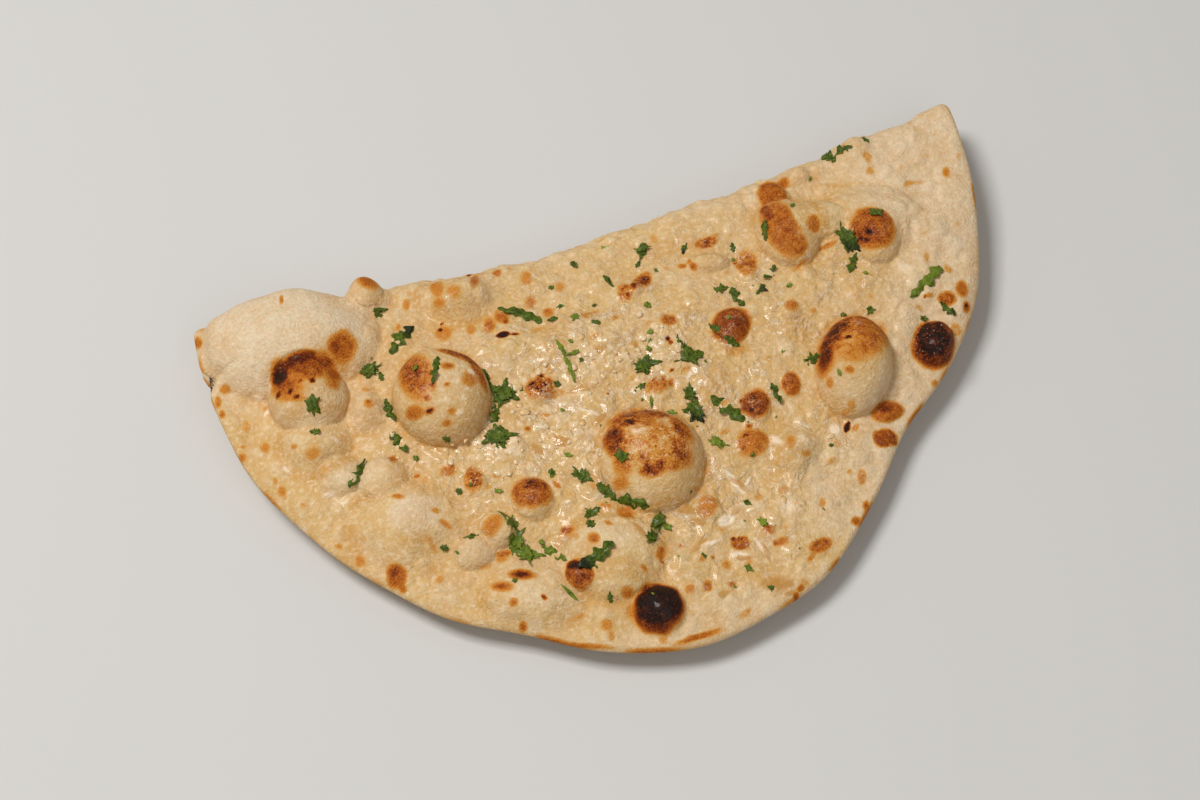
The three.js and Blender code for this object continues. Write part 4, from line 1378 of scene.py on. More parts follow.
@dataclass(frozen=True)
class HerbFinish:
    """Chopped coriander: dark green with lighter veins and edges, nearly black where wilted, and moist."""

    dark: Colour = linear(50, 68, 8)
    light: Colour = linear(122, 140, 36)
    wilted: Colour = linear(24, 26, 16)
    roughness: float = 0.55
    veins: Layer = Layer(1.3, 0.35)
    vein_light: float = 0.5
    vein_depth: float = 0.35

    def make(self) -> bpy.types.Material:
        """Build the material.

        Returns:
            The herb's material.
        """
        shades = Shades("coriander leaf", self.roughness)
        vein = shades.grain(self.veins)
        share = shades.maths("MULTIPLY_ADD", vein, self.vein_light, shades.attribute("light"))
        base = shades.mix(share, self.dark, self.light)
        base = shades.mix(shades.attribute("wilt"), base, self.wilted)
        shades.set(Base_Color=base, Coat_Weight=0.12, Coat_Roughness=0.12, Specular_IOR_Level=0.2)
        shades.bump(vein, self.vein_depth)
        return shades.material


@dataclass(frozen=True)
class GarlicFinish:
    """Minced garlic in butter: pale cream, moist and a little see-through."""

    pale: Colour = linear(243, 210, 166)
    golden: Colour = linear(230, 184, 124)
    roughness: float = 0.34
    pits: Layer = Layer(0.7)
    pit_depth: float = 0.2

    def make(self) -> bpy.types.Material:
        """Build the material.

        Returns:
            The garlic's material.
        """
        shades = Shades("minced garlic", self.roughness)
        shades.set(
            Base_Color=shades.mix(shades.attribute("tone"), self.pale, self.golden),
            Subsurface_Weight=0.25,
            Subsurface_Scale=0.0015,
            Coat_Weight=0.5,
            Coat_Roughness=0.14,
        )
        shades.bump(shades.grain(self.pits), self.pit_depth, strength=0.7)
        return shades.material


@dataclass(frozen=True)
class ButterFinish:
    """Melted butter: a clear amber film, deeper where it's thicker."""

    amber: Colour = linear(214, 158, 70)
    roughness: float = 0.08
    most_alpha: float = 0.5
    ripples: Layer = Layer(3.0, detail=1.0)
    ripple_depth: float = 0.3

    def make(self) -> bpy.types.Material:
        """Build the material.

        Returns:
            The butter's material.
        """
        shades = Shades("melted butter", self.roughness)
        alpha = shades.maths("MULTIPLY", shades.attribute("depth"), self.most_alpha)
        shades.set(Base_Color=self.amber, Alpha=alpha)
        shades.bump(shades.grain(self.ripples), self.ripple_depth, strength=0.5)
        return shades.material


def make_object(
    name: str,
    points: Array,
    facets: list[tuple[int, ...]],
    values: dict[str, Array],
    material: bpy.types.Material,
) -> bpy.types.Object:
    """Make a smooth mesh object from points in millimetres.

    Args:
        name: the piece's name.
        points: its points.
        facets: its faces, as runs of point numbers.
        values: values of each point, by the name that its material reads.
        material: its finish.

    Returns:
        The object, linked into the scene.
    """
    mesh = bpy.data.meshes.new(name)
    mesh.from_pydata((points * METRES).tolist(), [], facets)
    for key, array in values.items():
        layer = mesh.attributes.new(key, "FLOAT", "POINT")
        layer.data.foreach_set("value", np.asarray(array, dtype=np.float32).ravel())
    mesh.polygons.foreach_set("use_smooth", [True] * len(mesh.polygons))
    mesh.materials.append(material)
    mesh.update()
    made = bpy.data.objects.new(name, mesh)
    bpy.context.scene.collection.objects.link(made)
    return made


@dataclass
class Bread:
    """The folded bread itself: a fine mesh of the same sheet, with its browning and its butter.

    The puddled, strewn and floury patches are rises, whose heights say how much each one covers; the floury
    ones on the swellings paint light on their tops. The waves and the bed's cells are given by how much
    they count, their width and which noise they are, and the spots' waves and the lumps' cells by what
    grain and cells take. Other pairs say where something starts and ends.
    """

    sheet: FoldedSheet
    finish: CrustFinish
    ring_count: int = 225
    top_step: float = 0.64
    under_step: float = 3.0
    inner_ring_count: int = 36
    inner_step: float = 7.0
    rim_rings: tuple[float, ...] = (0.12, 0.4, 0.85, 1.4, 2.1, 3.0)
    ring_start: float = 3.7
    puddled: tuple[Rise, ...] = (
        Rise("middle", -12, 60, 64, 42, 1.0),
        Rise("front", 10, 106, 34, 24, 1.0),
        Rise("front, middle", -22, 92, 26, 22, 0.8),
        Rise("behind the plateau", 56, 46, 36, 28, 0.85),
        Rise("right of the middle", 40, 92, 20, 24, 0.7),
        Rise("fold", -4, 20, 60, 14, 0.55),
        Rise("front left", -46, 80, 24, 20, 0.85),
        Rise("front left, thin", -62, 98, 44, 28, 0.14),
        Rise("left", -82, 58, 22, 18, 0.45),
        Rise("plateau", 82, 30, 16, 14, 0.4),
    )
    strewn: tuple[Rise, ...] = (
        Rise("left of the middle", -36, 68, 26, 16, 1.0, 15),
        Rise("behind the middle", -10, 48, 36, 16, 0.9),
        Rise("behind, right of the middle", 40, 54, 30, 15, 0.55),
        Rise("in front, right of the middle", 30, 106, 12, 10, 0.7),
        Rise("by the right balloon", 40, 88, 12, 14, 0.5),
        Rise("left balloon's foot", -56, 66, 16, 8, 0.8),
        Rise("in front", 8, 112, 40, 22, 0.2),
        Rise("left", -86, 56, 18, 14, 0.35),
    )
    most_uneven: float = 0.24
    edge_wobble: float = 0.7
    # The balloons whose front flanks get painted shade.
    golden: tuple[str, ...] = ("left balloon", "centre balloon", "right balloon", "brown shell by the fold")
    flour_and_painted_light: tuple[Rise, ...] = (
        Rise("left corner bubble", -96, 13, 36, 24, 1.0),
        Rise("right corner", 104, 26, 26, 36, 1.0),
        Rise("right rim", 92, 72, 24, 34, 0.9),
        Rise("front right", 48, 106, 22, 16, 1.0, -35),
        Rise("front right rim", 66, 106, 26, 12, 0.6, -40),
        Rise("in front of the right balloon", 66, 92, 16, 14, 1.0, -30),
        # The patches on these swellings paint light on their tops.
        Rise("pale bumps, left", -85, 63, 13, 6.4, 0.8),
        Rise("soft swelling, left", -74, 79, 9, 7, 1.0),
        Rise("lower lobe", -60, 94, 8, 6, 0.7),
        Rise("front left mound", -45, 111, 9, 7, 0.6),
        Rise("front rim", 4, 134, 60, 7, 0.7),
        Rise("fold, right of the middle", 66, 4, 60, 12, 0.6),
        Rise("fold, left of the middle", -20, 4, 50, 8, 0.4),
        Rise("burnt blister", -92, 40, 16, 10, 0.5),
    )
    fewest_in_ring: int = 3
    balloon_rise: Pair = (5.0, 2.2)
    patch_edge: Pair = (1.2, 0.6)
    butter_patches: Patches = Patches(7.0, 3.3, -0.4, 0.3)
    butter_between: float = 0.35
    butter_on_balloon: float = 0.3
    waves: tuple[Triple, ...] = ((0.24, 6.0, 1.7), (0.18, 2.4, 5.1))
    lump_cells: Triple = (5.4, 2.9, 0.7)
    lump_height: float = 0.7
    lump_on_balloon: float = 0.15
    bed_cells: tuple[Triple, ...] = ((2 / 3, 2.5, 2.2), (1 / 3, 1.5, 8.8))
    bed_height: float = 0.46
    bed_from: float = 0.02
    spot_waves: Pair = (3.4, 7.7)
    spot_reach: float = 1.4
    mark_end: float = 1.3
    mark_start: float = 1.05
    mark_layer: float = 37.0
    mark_uneven: float = 0.25
    freckle_patches: Patches = Patches(4.4, 13.0, 0.36, 0.66)
    freckle_depth: float = 0.2
    rim_patches: Patches = Patches(11.0, 17.0, -0.1, 0.5)
    rim_width: Pair = (1.8, 0.2)
    rim_depth: float = 0.4
    worn_patches: Patches = Patches(1.3, 61.0, -0.5, 0.3)
    worn_waves: float = 2.2
    glare_waves: float = 2.2
    stain_waves: float = 4.4
    # The feet and flanks paint shade round the blisters and on their front sides.
    foot_inner: Pair = (0.62, 0.98)
    foot_outer: Pair = (1.34, 1.02)
    foot_full_height: float = 6.0
    foot_patches: Patches = Patches(7.0, 21.0, -0.5, 0.3)
    foot_between: float = 0.5
    flank_shade: Pair = (0.3, 0.6)
    flank_front: Pair = (-0.3, 0.7)
    flank_edge: Pair = (1.1, 0.9)
    gold_and_shade_in_feet: float = 0.85
    gold_patches: Patches = Patches(13.0, 31.0, -0.05, 0.45)
    gold_in_patches: float = 0.6
    gold_in_butter: float = 0.36
    shade_between_lumps: float = 0.42
    gold_lost_in_flour: float = 0.5
    flour_patches: Patches = Patches(12.0, 41.0, -0.1, 0.4)
    flour_in_patches: float = 0.6
    light_on_lumps: float = 0.6
    flour_lost_in_butter: float = 0.6
    points: list[Array] = field(default_factory=list)
    facets: list[tuple[int, ...]] = field(default_factory=list)
    total: int = 0

    def shares(self, count: int) -> list[float]:
        """Give the rings of one face, from the rim in.

        Args:
            count: how many it has inside the fine ones by the rim.

        Returns:
            Their shares of the rim's radius.
        """
        reach = self.sheet.top_reach
        rim = [1 - distance / reach for distance in self.rim_rings]
        return rim + [ring / count * (1 - self.ring_start / reach) for ring in range(count, 0, -1)]

    def add_ring(self, share: float, top_step: float, under_step: float, side: int) -> list[list[int]]:
        """Add one ring of places, finer over the top leaf than over the under leaf.

        Args:
            share: the ring's share of the rim's radius.
            top_step: the distance between its points on the top leaf.
            under_step: the same on the under leaf.
            side: 1 for the outer face, -1 for the inner.

        Returns:
            Its point numbers, as a run over the top leaf and a run back under it.
        """
        top = max(self.fewest_in_ring, round(share * math.pi * self.sheet.top_reach / top_step))
        under = max(self.fewest_in_ring, round(share * math.pi * self.sheet.under_reach / under_step))
        over_top = np.pi * np.arange(top) / top
        back_under = -np.pi + np.pi * np.arange(under) / under
        angle = np.concatenate([over_top, back_under])
        self.points.append(np.stack([angle, np.full_like(angle, share), np.full_like(angle, side)], -1))
        count = top + under
        numbers = [self.total + index % count for index in range(count + 1)]
        self.total += count
        return [numbers[: top + 1], numbers[top:]]

    def add_band(self, outer: list[int], inner: list[int], side: int) -> None:
        """Join two runs of points that start and end beside each other.

        Args:
            outer: the outer run's point numbers.
            inner: the inner run's.
            side: 1 for the outer face, -1 for the inner, which turns the facets round.
        """
        i = j = 0
        last_outer, last_inner = len(outer) - 1, len(inner) - 1
        while i < last_outer or j < last_inner:
            nearer = (i + 0.5) * last_inner <= (j + 0.5) * last_outer
            onward = j == last_inner or (i < last_outer and nearer)
            if onward:
                facet = (outer[i], outer[i + 1], inner[j])
                i += 1
            else:
                facet = (outer[i], inner[j + 1], inner[j])
                j += 1
            self.facets.append(facet[::-1] if side > 0 else facet)

    def add_face(self, rim: list[list[int]], shares: list[float], steps: Pair, side: int) -> None:
        """Cover one face of the dough with rings, from the rim in to the middle.

        Args:
            rim: the rim's point numbers, which both faces share.
            shares: the face's rings.
            steps: the distance between points on the top and the under leaf.
            side: 1 for the outer face, -1 for the inner.
        """
        outer = rim
        for share in shares:
            inner = self.add_ring(share, *steps, side)
            for first, second in zip(outer, inner):
                self.add_band(first, second, side)
            outer = inner
        self.points.append(np.array([[0.0, 0.0, side]]))
        for run in outer:
            self.add_band(run, [self.total], side)
        self.total += 1

    def slack(self, along: Array, over: Array) -> Array:
        """Say where the crust is slack: 1 on the flat, 0 on a blown up balloon."""
        return ramp(self.sheet.blow(along, over)[2], *self.balloon_rise)

    def cover(self, patches: tuple[Rise, ...], along: Array, over: Array) -> Array:
        """Say how much each place is covered by soft-edged patches.

        Args:
            patches: the patches.
            along, over: places on the sheet.

        Returns:
            Values from 0 to 1.
        """
        level = np.zeros_like(along)
        for patch in patches:
            share = self.sheet.share_of_half(patch, along, over)
            level = np.maximum(level, patch.height * ramp(share, *self.patch_edge))
        return level

    def butter(self, along: Array, over: Array) -> Array:
        """Say how wet with butter each place of the crust is.

        Args:
            along, over: places on the sheet.

        Returns:
            Values from 0, dry, to 1, glossy.
        """
        patchy = between((self.butter_between, 1), self.butter_patches.at(along, over))
        stayed = between((self.butter_on_balloon, 1), self.slack(along, over))
        return self.cover(self.puddled, along, over) * patchy * (over > 0) * stayed

    def lumps(self, along: Array, over: Array) -> Array:
        """Find the soft lumps of the dough, from 0 between them to 1 on top, which a balloon pulls flat."""
        shown = between((self.lump_on_balloon, 1), self.slack(along, over))
        return cells(along, over, *self.lump_cells) * shown

    def bed(self, along: Array, over: Array, wet: Array) -> Array:
        """Find the lumps of the bed of garlic.

        Args:
            along, over: places on the sheet.
            wet: how wet each place is.

        Returns:
            Values from 0, between the lumps, to 1, on top of them, and 0 where it's dry.
        """
        near = wet > self.bed_from
        level = np.zeros_like(along)
        for weight, size, layer in self.bed_cells:
            level[near] += weight * cells(along[near], over[near], size, layer)
        return level * self.cover(self.strewn, along, over)

    def fine_relief(self, along: Array, over: Array, wet: Array) -> Array:
        """Give the crust's small bumps: lumpy but for the balloons, with a bed of garlic where buttered.

        Args:
            along, over: places on the sheet.
            wet: how wet each place is.

        Returns:
            Heights in millimetres.
        """
        height = self.lump_height * self.lumps(along, over)
        height += self.bed_height * self.bed(along, over, wet) * wet
        for rise, size, layer in self.waves:
            height += rise * grain(along, over, size, layer)
        return height

    def fade(self, mark: Spot, share: Array) -> Array:
        """Say how strongly a mark shows, from 1 in its middle to 0 past its edge, softened by its blur."""
        return ramp(share, self.mark_end, self.mark_start - mark.blur)

    def marked(self, marks: tuple[Spot, ...], along: Array, over: Array, size: float) -> Array:
        """Find how strongly places are covered by uneven marks.

        Args:
            marks: the marks.
            along, over: places on the sheet.
            size: the length of the waves of their edges in millimetres.

        Returns:
            Values from 0 to 1.
        """
        rough = 1 + self.mark_uneven * grain(along, over, size, self.mark_layer)
        level = np.zeros_like(along)
        for mark in marks:
            share = self.sheet.share_of_half(mark, along, over)
            level = np.maximum(level, mark.depth * self.fade(mark, share * rough))
        return level

    def browning(self, along: Array, over: Array, from_rim: Array) -> dict[str, Array]:
        """Say how browned, gritty and glossy each place of the outer face is.

        Args:
            along, over: places on the sheet.
            from_rim: distances in from the rim.

        Returns:
            The browning from 0, cream, to 1, charred; the grit; and the gloss.
        """
        rough = grain(along, over, *self.spot_waves)
        toast, grit, gloss = (np.zeros_like(along) for _ in range(3))
        for spot in SPOTS:
            share = self.sheet.share_of_half(spot, along, over)
            near = share < self.spot_reach
            uneven = min(self.most_uneven, self.edge_wobble / spot.half_along)
            level = self.fade(spot, share[near] * (1 + uneven * rough[near]))
            for values, most in ((toast, spot.depth), (grit, spot.grit), (gloss, spot.gloss)):
                values[near] = np.maximum(values[near], most * level)
        worn = self.marked(WORN, along, over, self.worn_waves) * self.worn_patches.at(along, over)
        freckles = self.freckle_depth * self.freckle_patches.at(along, over) * self.slack(along, over)
        rim = self.rim_depth * ramp(from_rim, *self.rim_width) * self.rim_patches.at(along, over)
        toast = np.maximum.reduce([toast * (1 - worn), freckles, rim])
        return {"toast": toast, "grit": grit, "gloss": gloss}

    def shaded_feet(self, along: Array, over: Array) -> Array:
        """Find the golden feet of the blisters and the front flanks of the balloons: mostly painted shade,
        in the creases round their feet and on their front sides, with some golden colour.

        Args:
            along, over: places on the sheet.

        Returns:
            Values from 0 to 1.
        """
        level = np.zeros_like(along)
        for rise in BLISTERS:
            share = self.sheet.share_of_half(rise, along, over)
            ring = ramp(share, *self.foot_inner) * ramp(share, *self.foot_outer)
            level = np.maximum(level, ring * min(rise.height / self.foot_full_height, 1))
            if rise.name in self.golden:
                front = ramp((over - rise.over) / rise.half_over, *self.flank_front)
                flank = between(self.flank_shade, front) * ramp(share, *self.flank_edge)
                level = np.maximum(level, flank)
        return level * between((self.foot_between, 1), self.foot_patches.at(along, over))

    def build(self) -> bpy.types.Object:
        """Make the bread and dress it.

        Returns:
            The bread's object.
        """
        steps = self.top_step, self.under_step
        rim = self.add_ring(1.0, *steps, 1)
        self.add_face(rim, self.shares(self.ring_count), steps, 1)
        self.add_face(rim, self.shares(self.inner_ring_count), (self.inner_step, self.inner_step), -1)
        angle, share, side = np.concatenate(self.points).T
        radius = self.sheet.rim_radius(angle)
        along, over = share * radius * np.cos(angle), share * radius * np.sin(angle)
        outer = side > 0
        wet = self.butter(along, over) * outer
        points = np.where(
            outer[:, None],
            self.sheet.point(along, over, 1, self.fine_relief(along, over, wet)),
            self.sheet.point(along, over, -1),
        )
        browned = self.browning(along, over, (1 - share) * radius)
        bed, lumps = self.bed(along, over, wet), self.lumps(along, over)
        flour_and_painted_light = self.cover(self.flour_and_painted_light, along, over)
        # The gold is partly golden stains, patches and butter, partly painted shade at the blisters' feet
        # and between the lumps.
        gold_and_shade = (
            self.gold_and_shade_in_feet * self.shaded_feet(along, over),
            self.gold_in_patches * self.gold_patches.at(along, over),
            self.gold_in_butter * wet * (1 - bed),
            self.shade_between_lumps * self.slack(along, over) * (1 - lumps),
            self.marked(STAINS_AND_SHADE, along, over, self.stain_waves),
        )
        # The flour is partly floury patches, partly painted light on the tops of lumps and swellings.
        flour_and_light = (
            flour_and_painted_light,
            self.light_on_lumps * lumps,
            np.where(outer, self.flour_in_patches * self.flour_patches.at(along, over), 1),
        )
        values = {
            "toast": browned["toast"] * outer,
            "grit": browned["grit"],
            "butter": np.maximum(wet, browned["gloss"] * outer),
            "gold_and_shade": np.maximum.reduce(gold_and_shade) * outer * (1 - self.gold_lost_in_flour * flour_and_painted_light),
            "garlic": bed * wet,
            # Painted highlights of the butter's glare, and a few pale bits.
            "glare_and_pale_bits": self.marked(GLARE_AND_PALE_BITS, along, over, self.glare_waves),
            "flour_and_light": np.maximum.reduce(flour_and_light) * (1 - self.flour_lost_in_butter * wet),
        }
        bread = make_object("bread", points, self.facets, values, self.finish.make())
        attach(bread, BODY)
        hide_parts("naan")
        return bread


@dataclass
class Pattern:
    """A thin flat shape, one long and one wide. Edge says how near its edge each of its places is."""

    places: Array
    faces: list[tuple[int, ...]]
    outline: list[int]
    edge: Array


@dataclass
class Coriander:
    """Chopped coriander lying on the crust, as thin wavy leaves, shreds and stems."""

    sheet: FoldedSheet
    finish: HerbFinish
    thick: float = 0.3
    shows: float = 0.55
    stem_shows: float = 0.75
    wave: float = 0.3
    wave_length: float = 4.5
    tip_lift: float = 0.9
    waist: float = 0.56
    leaf_half: float = 0.56
    rings: int = 4
    spokes: int = 48
    lobe_counts: tuple[int, ...] = (4, 5, 5, 6)
    lobe_shift: Pair = (-0.3, 0.3)
    lobe_length: Pair = (0.72, 1.0)
    lobe_spread: Pair = (0.35, 0.6)
    lobe_power: float = 1.5
    leaf_teeth: tuple[tuple[float, int, int], ...] = ((0.09, 9, 1), (0.1, 16, -1))
    shred_steps: int = 18
    shred_teeth: tuple[tuple[int, int], ...] = ((15, 31), (19, -27))
    shred_fullest: Pair = (0.55, 1.6)
    shred_tip: float = 0.05
    shred_ragged: float = 0.3
    stem_ragged: float = 0.08
    full_size: float = 6.0
    tip_hang: float = -0.2
    edge_light: float = 0.2
    wilt: float = 0.85
    wilt_from: Pair = (0.0, 0.35)
    flake_count: int = 46
    flake_seed: int = 5
    flake_first: int = 40
    flake_along: Pair = (-78, 78)
    flake_over: Pair = (10, 128)
    flake_forward: float = 0.9
    flake_length: Pair = (0.8, 2.0)
    flake_narrowness: Pair = (0.4, 0.8)
    flake_margin: float = 0.93
    least_clump: float = 6.0
    clump_step: float = 0.55
    clump_length: float = 0.66
    clump_width: float = 0.8
    clump_turn: float = 65.0
    clump_seed: int = 500
    points: list[Array] = field(default_factory=list)
    facets: list[tuple[int, ...]] = field(default_factory=list)
    lights: list[Array] = field(default_factory=list)
    wilts: list[Array] = field(default_factory=list)
    total: int = 0

    def leaf(self, draw: random.Random) -> Pattern:
        """Draw a torn leaf: uneven lobes with teeth, round a narrow waist.

        Args:
            draw: makes each leaf's lobes its own.

        Returns:
            Its pattern.
        """
        count = draw.choice(self.lobe_counts)
        lobes = []
        for index in range(count):
            middle = math.tau * (index + draw.uniform(*self.lobe_shift)) / count
            lobes.append((middle, draw.uniform(*self.lobe_length), draw.uniform(*self.lobe_spread)))
        phase = draw.uniform(0, math.tau)
        spots = [(0.0, 0.0)]
        edge = [0.0]
        for ring in range(1, self.rings + 1):
            share = ring / self.rings
            for spoke in range(self.spokes):
                angle = math.tau * spoke / self.spokes
                reach = self.waist
                for middle, length, spread in lobes:
                    away = math.remainder(angle - middle, math.tau) / spread
                    reach = max(reach, length * math.exp(-abs(away) ** self.lobe_power))
                teeth = (size * math.sin(rate * angle + way * phase) for size, rate, way in self.leaf_teeth)
                reach *= 1 + sum(teeth)
                radius = self.leaf_half * share * between((self.waist, reach), share)
                spots.append((radius * math.cos(angle), radius * math.sin(angle)))
                edge.append(share * reach)
        faces: list[tuple[int, ...]] = []
        for spoke in range(self.spokes):
            after = (spoke + 1) % self.spokes
            faces.append((0, 1 + spoke, 1 + after))
            for ring in range(1, self.rings):
                low = 1 + (ring - 1) * self.spokes
                high = low + self.spokes
                faces.append((low + spoke, high + spoke, high + after))
                faces.append((low + spoke, high + after, low + after))
        last = 1 + (self.rings - 1) * self.spokes
        return Pattern(np.array(spots), faces, list(range(last, last + self.spokes)), np.array(edge))

    def shred(self, draw: random.Random, ragged: float) -> Pattern:
        """Draw a shred or a stem, tapered to both ends.

        Args:
            draw: makes each one's edge its own.
            ragged: how uneven its two edges are.

        Returns:
            Its pattern.
        """
        spots = []
        edge = []
        faces: list[tuple[int, ...]] = []
        phases = draw.uniform(0, math.tau), draw.uniform(0, math.tau)
        fullest = draw.uniform(*self.shred_fullest)
        for step in range(self.shred_steps + 1):
            share = step / self.shred_steps
            half = 0.5 * math.sqrt(max(math.sin(math.pi * share**fullest), self.shred_tip))
            right, left = (
                half * (1 + ragged * (math.sin(coarse * share + phase) + math.sin(fine * share)))
                for (coarse, fine), phase in zip(self.shred_teeth, phases)
            )
            spots += [(share - 0.5, -right), (share - 0.5, 0.0), (share - 0.5, left)]
            edge += [1.0, 0.0, 1.0]
            if step:
                low = 3 * (step - 1)
                for near in (low, low + 1):
                    faces += [(near, near + 3, near + 4), (near, near + 4, near + 1)]
        count = len(spots)
        outline = list(range(0, count, 3)) + [count - 2] + list(range(count - 1, 0, -3)) + [1]
        return Pattern(np.array(spots), faces, outline, np.array(edge))

    def add(self, herb: Herb, seed: int, above: float = 0.0) -> None:
        """Lay one piece on the crust.

        Args:
            herb: the piece.
            seed: makes its outline and waves its own.
            above: how much higher than usual it lies, on another piece.
        """
        draw = random.Random(seed)
        ragged = self.stem_ragged if herb.cut is Cut.STEM else self.shred_ragged
        pattern = self.leaf(draw) if herb.cut is Cut.LEAF else self.shred(draw, ragged)
        lengthwise, across = pattern.places.T
        right = lengthwise * herb.length
        onward = across * herb.width + lengthwise**2 * herb.length * math.sin(math.radians(herb.bend))
        along, over = turned(herb, right, onward)
        wave = self.wave * np.sin(math.tau * right / self.wave_length + herb.along)
        curled = np.maximum(np.sin(2 * np.arctan2(onward, right + SMALLEST) + seed), self.tip_hang)
        relief = (wave + self.tip_lift * pattern.edge**2 * curled) * min(herb.length / self.full_size, 1)
        shows = above + (self.stem_shows if herb.cut is Cut.STEM else self.shows)
        crust = self.sheet.point(along, over, 1)
        out = self.sheet.outward(along, over)
        base = self.total
        count = len(right)
        for raised in (shows, shows - self.thick):
            self.points.append(crust + out * (raised + relief)[:, None])
            self.lights.append(herb.light + self.edge_light * pattern.edge)
            self.wilts.append(self.wilt * ramp(lengthwise, *self.wilt_from) * herb.wilted)
        for face in pattern.faces:
            self.facets.append(tuple(base + number for number in reversed(face)))
            self.facets.append(tuple(base + count + number for number in face))
        for number, after in zip(pattern.outline, pattern.outline[1:] + pattern.outline[:1]):
            self.facets.append((base + number, base + after, base + count + after))
            self.facets.append((base + number, base + count + after, base + count + number))
        self.total += 2 * count

    def flakes(self) -> list[Herb]:
        """Scatter the smallest bits over the buttered middle.

        Returns:
            The flakes.
        """
        draw = random.Random(self.flake_seed)
        found = []
        for index in range(self.flake_count):
            first, second = scatter(index + self.flake_first)
            along = between(self.flake_along, first)
            over = between(self.flake_over, second**self.flake_forward)
            length = draw.uniform(*self.flake_length)
            cut = draw.choice((Cut.SHRED, Cut.LEAF, Cut.STEM))
            width = length * draw.uniform(*self.flake_narrowness)
            flake = Herb(along, over, length, width, draw.uniform(0, 180), cut, 0, draw.random())
            if self.sheet.share_of_rim(np.array(along), np.array(over)) < self.flake_margin:
                found.append(flake)
        return found

    def build(self) -> bpy.types.Object:
        """Lay out every piece and dress them.

        Returns:
            The coriander's object.
        """
        for seed, herb in enumerate([*HERBS, *self.flakes()]):
            self.add(herb, seed)
            if herb.cut is Cut.LEAF and herb.length >= self.least_clump:
                length, width = self.clump_length * herb.length, self.clump_width * herb.width
                upper = replace(herb, length=length, width=width, turn=herb.turn + self.clump_turn)
                self.add(upper, seed + self.clump_seed, self.clump_step)
        values = {"light": np.concatenate(self.lights), "wilt": np.concatenate(self.wilts)}
        points = np.concatenate(self.points)
        made = make_object("coriander", points, self.facets, values, self.finish.make())
        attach(made, BODY)
        return made


@dataclass
class Garlic:
    """Bits of minced garlic stuck in the butter."""

    sheet: FoldedSheet
    finish: GarlicFinish
    count: int = 1700
    seed: int = 11
    clump_width: float = 8.0
    clump_layer: float = 53.0
    clump_edge: float = -0.1
    clump_drop: float = 0.9
    along_field: Pair = (-76, 84)
    over_field: Pair = (18, 136)
    half: Pair = (0.5, 1.3)
    fewer_large: float = 2.2
    length: Pair = (0.9, 1.4)
    width: float = 0.9
    flatness: float = 0.36
    knobbly: Pair = (0.65, 1.25)
    sunk: float = 0.1
    most_toast: float = 0.25
    clear_height: float = 2.8
    rim_margin: float = 0.95
    least_wet: float = 0.3

    def build(self, bread: Bread) -> bpy.types.Object:
        """Scatter the bits where the crust is buttered.

        Args:
            bread: says where the butter is.

        Returns:
            The garlic's object.
        """
        first, second = scatter(np.arange(self.count))
        along, over = between(self.along_field, first), between(self.over_field, second)
        wet = bread.butter(along, over)
        low = self.sheet.blow(along, over)[2] < self.clear_height
        inside = self.sheet.share_of_rim(along, over) < self.rim_margin
        pale = bread.browning(along, over, np.full_like(along, np.inf))["toast"] < self.most_toast
        bare = 1 - bread.cover(bread.strewn, along, over)
        clumps = grain(along, over, self.clump_width, self.clump_layer)
        clumped = clumps > self.clump_edge + self.clump_drop * bare
        keep = low & inside & pale & clumped & (wet > self.least_wet)
        along, over, wet = along[keep], over[keep], wet[keep]
        extra = bread.fine_relief(along, over, wet)
        places = self.sheet.point(along, over, 1, extra)
        draw = random.Random(self.seed)
        corners, faces = self._ball()
        points, facets, tones = [], [], []
        for index, place in enumerate(places):
            size = between(self.half, draw.random() ** self.fewer_large)
            shares = Vector((draw.uniform(*self.length), self.width, self.flatness))
            laid = Matrix.Rotation(draw.uniform(0, math.tau), 3, "Z") @ Matrix.Diagonal(shares * size)
            shape = [tuple(laid @ (corner * draw.uniform(*self.knobbly))) for corner in corners]
            facets += [tuple(index * len(shape) + corner for corner in face) for face in faces]
            points.append(np.array(shape) + place - (0, 0, size * self.sunk))
            tones.append(np.full(len(shape), draw.random()))
        values = {"tone": np.concatenate(tones)}
        made = make_object("garlic", np.concatenate(points), facets, values, self.finish.make())
        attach(made, BODY)
        return made

    @staticmethod
    def _ball() -> tuple[list[Vector], list[tuple[int, ...]]]:
        """Make a small ball of 42 corners.

        Returns:
            Its corners and faces.
        """
        net = bmesh.new()
        bmesh.ops.create_icosphere(net, subdivisions=2, radius=1.0)
        corners = [vert.co.copy() for vert in net.verts]
        faces = [tuple(vert.index for vert in face.verts) for face in net.faces]
        net.free()
        return corners, faces


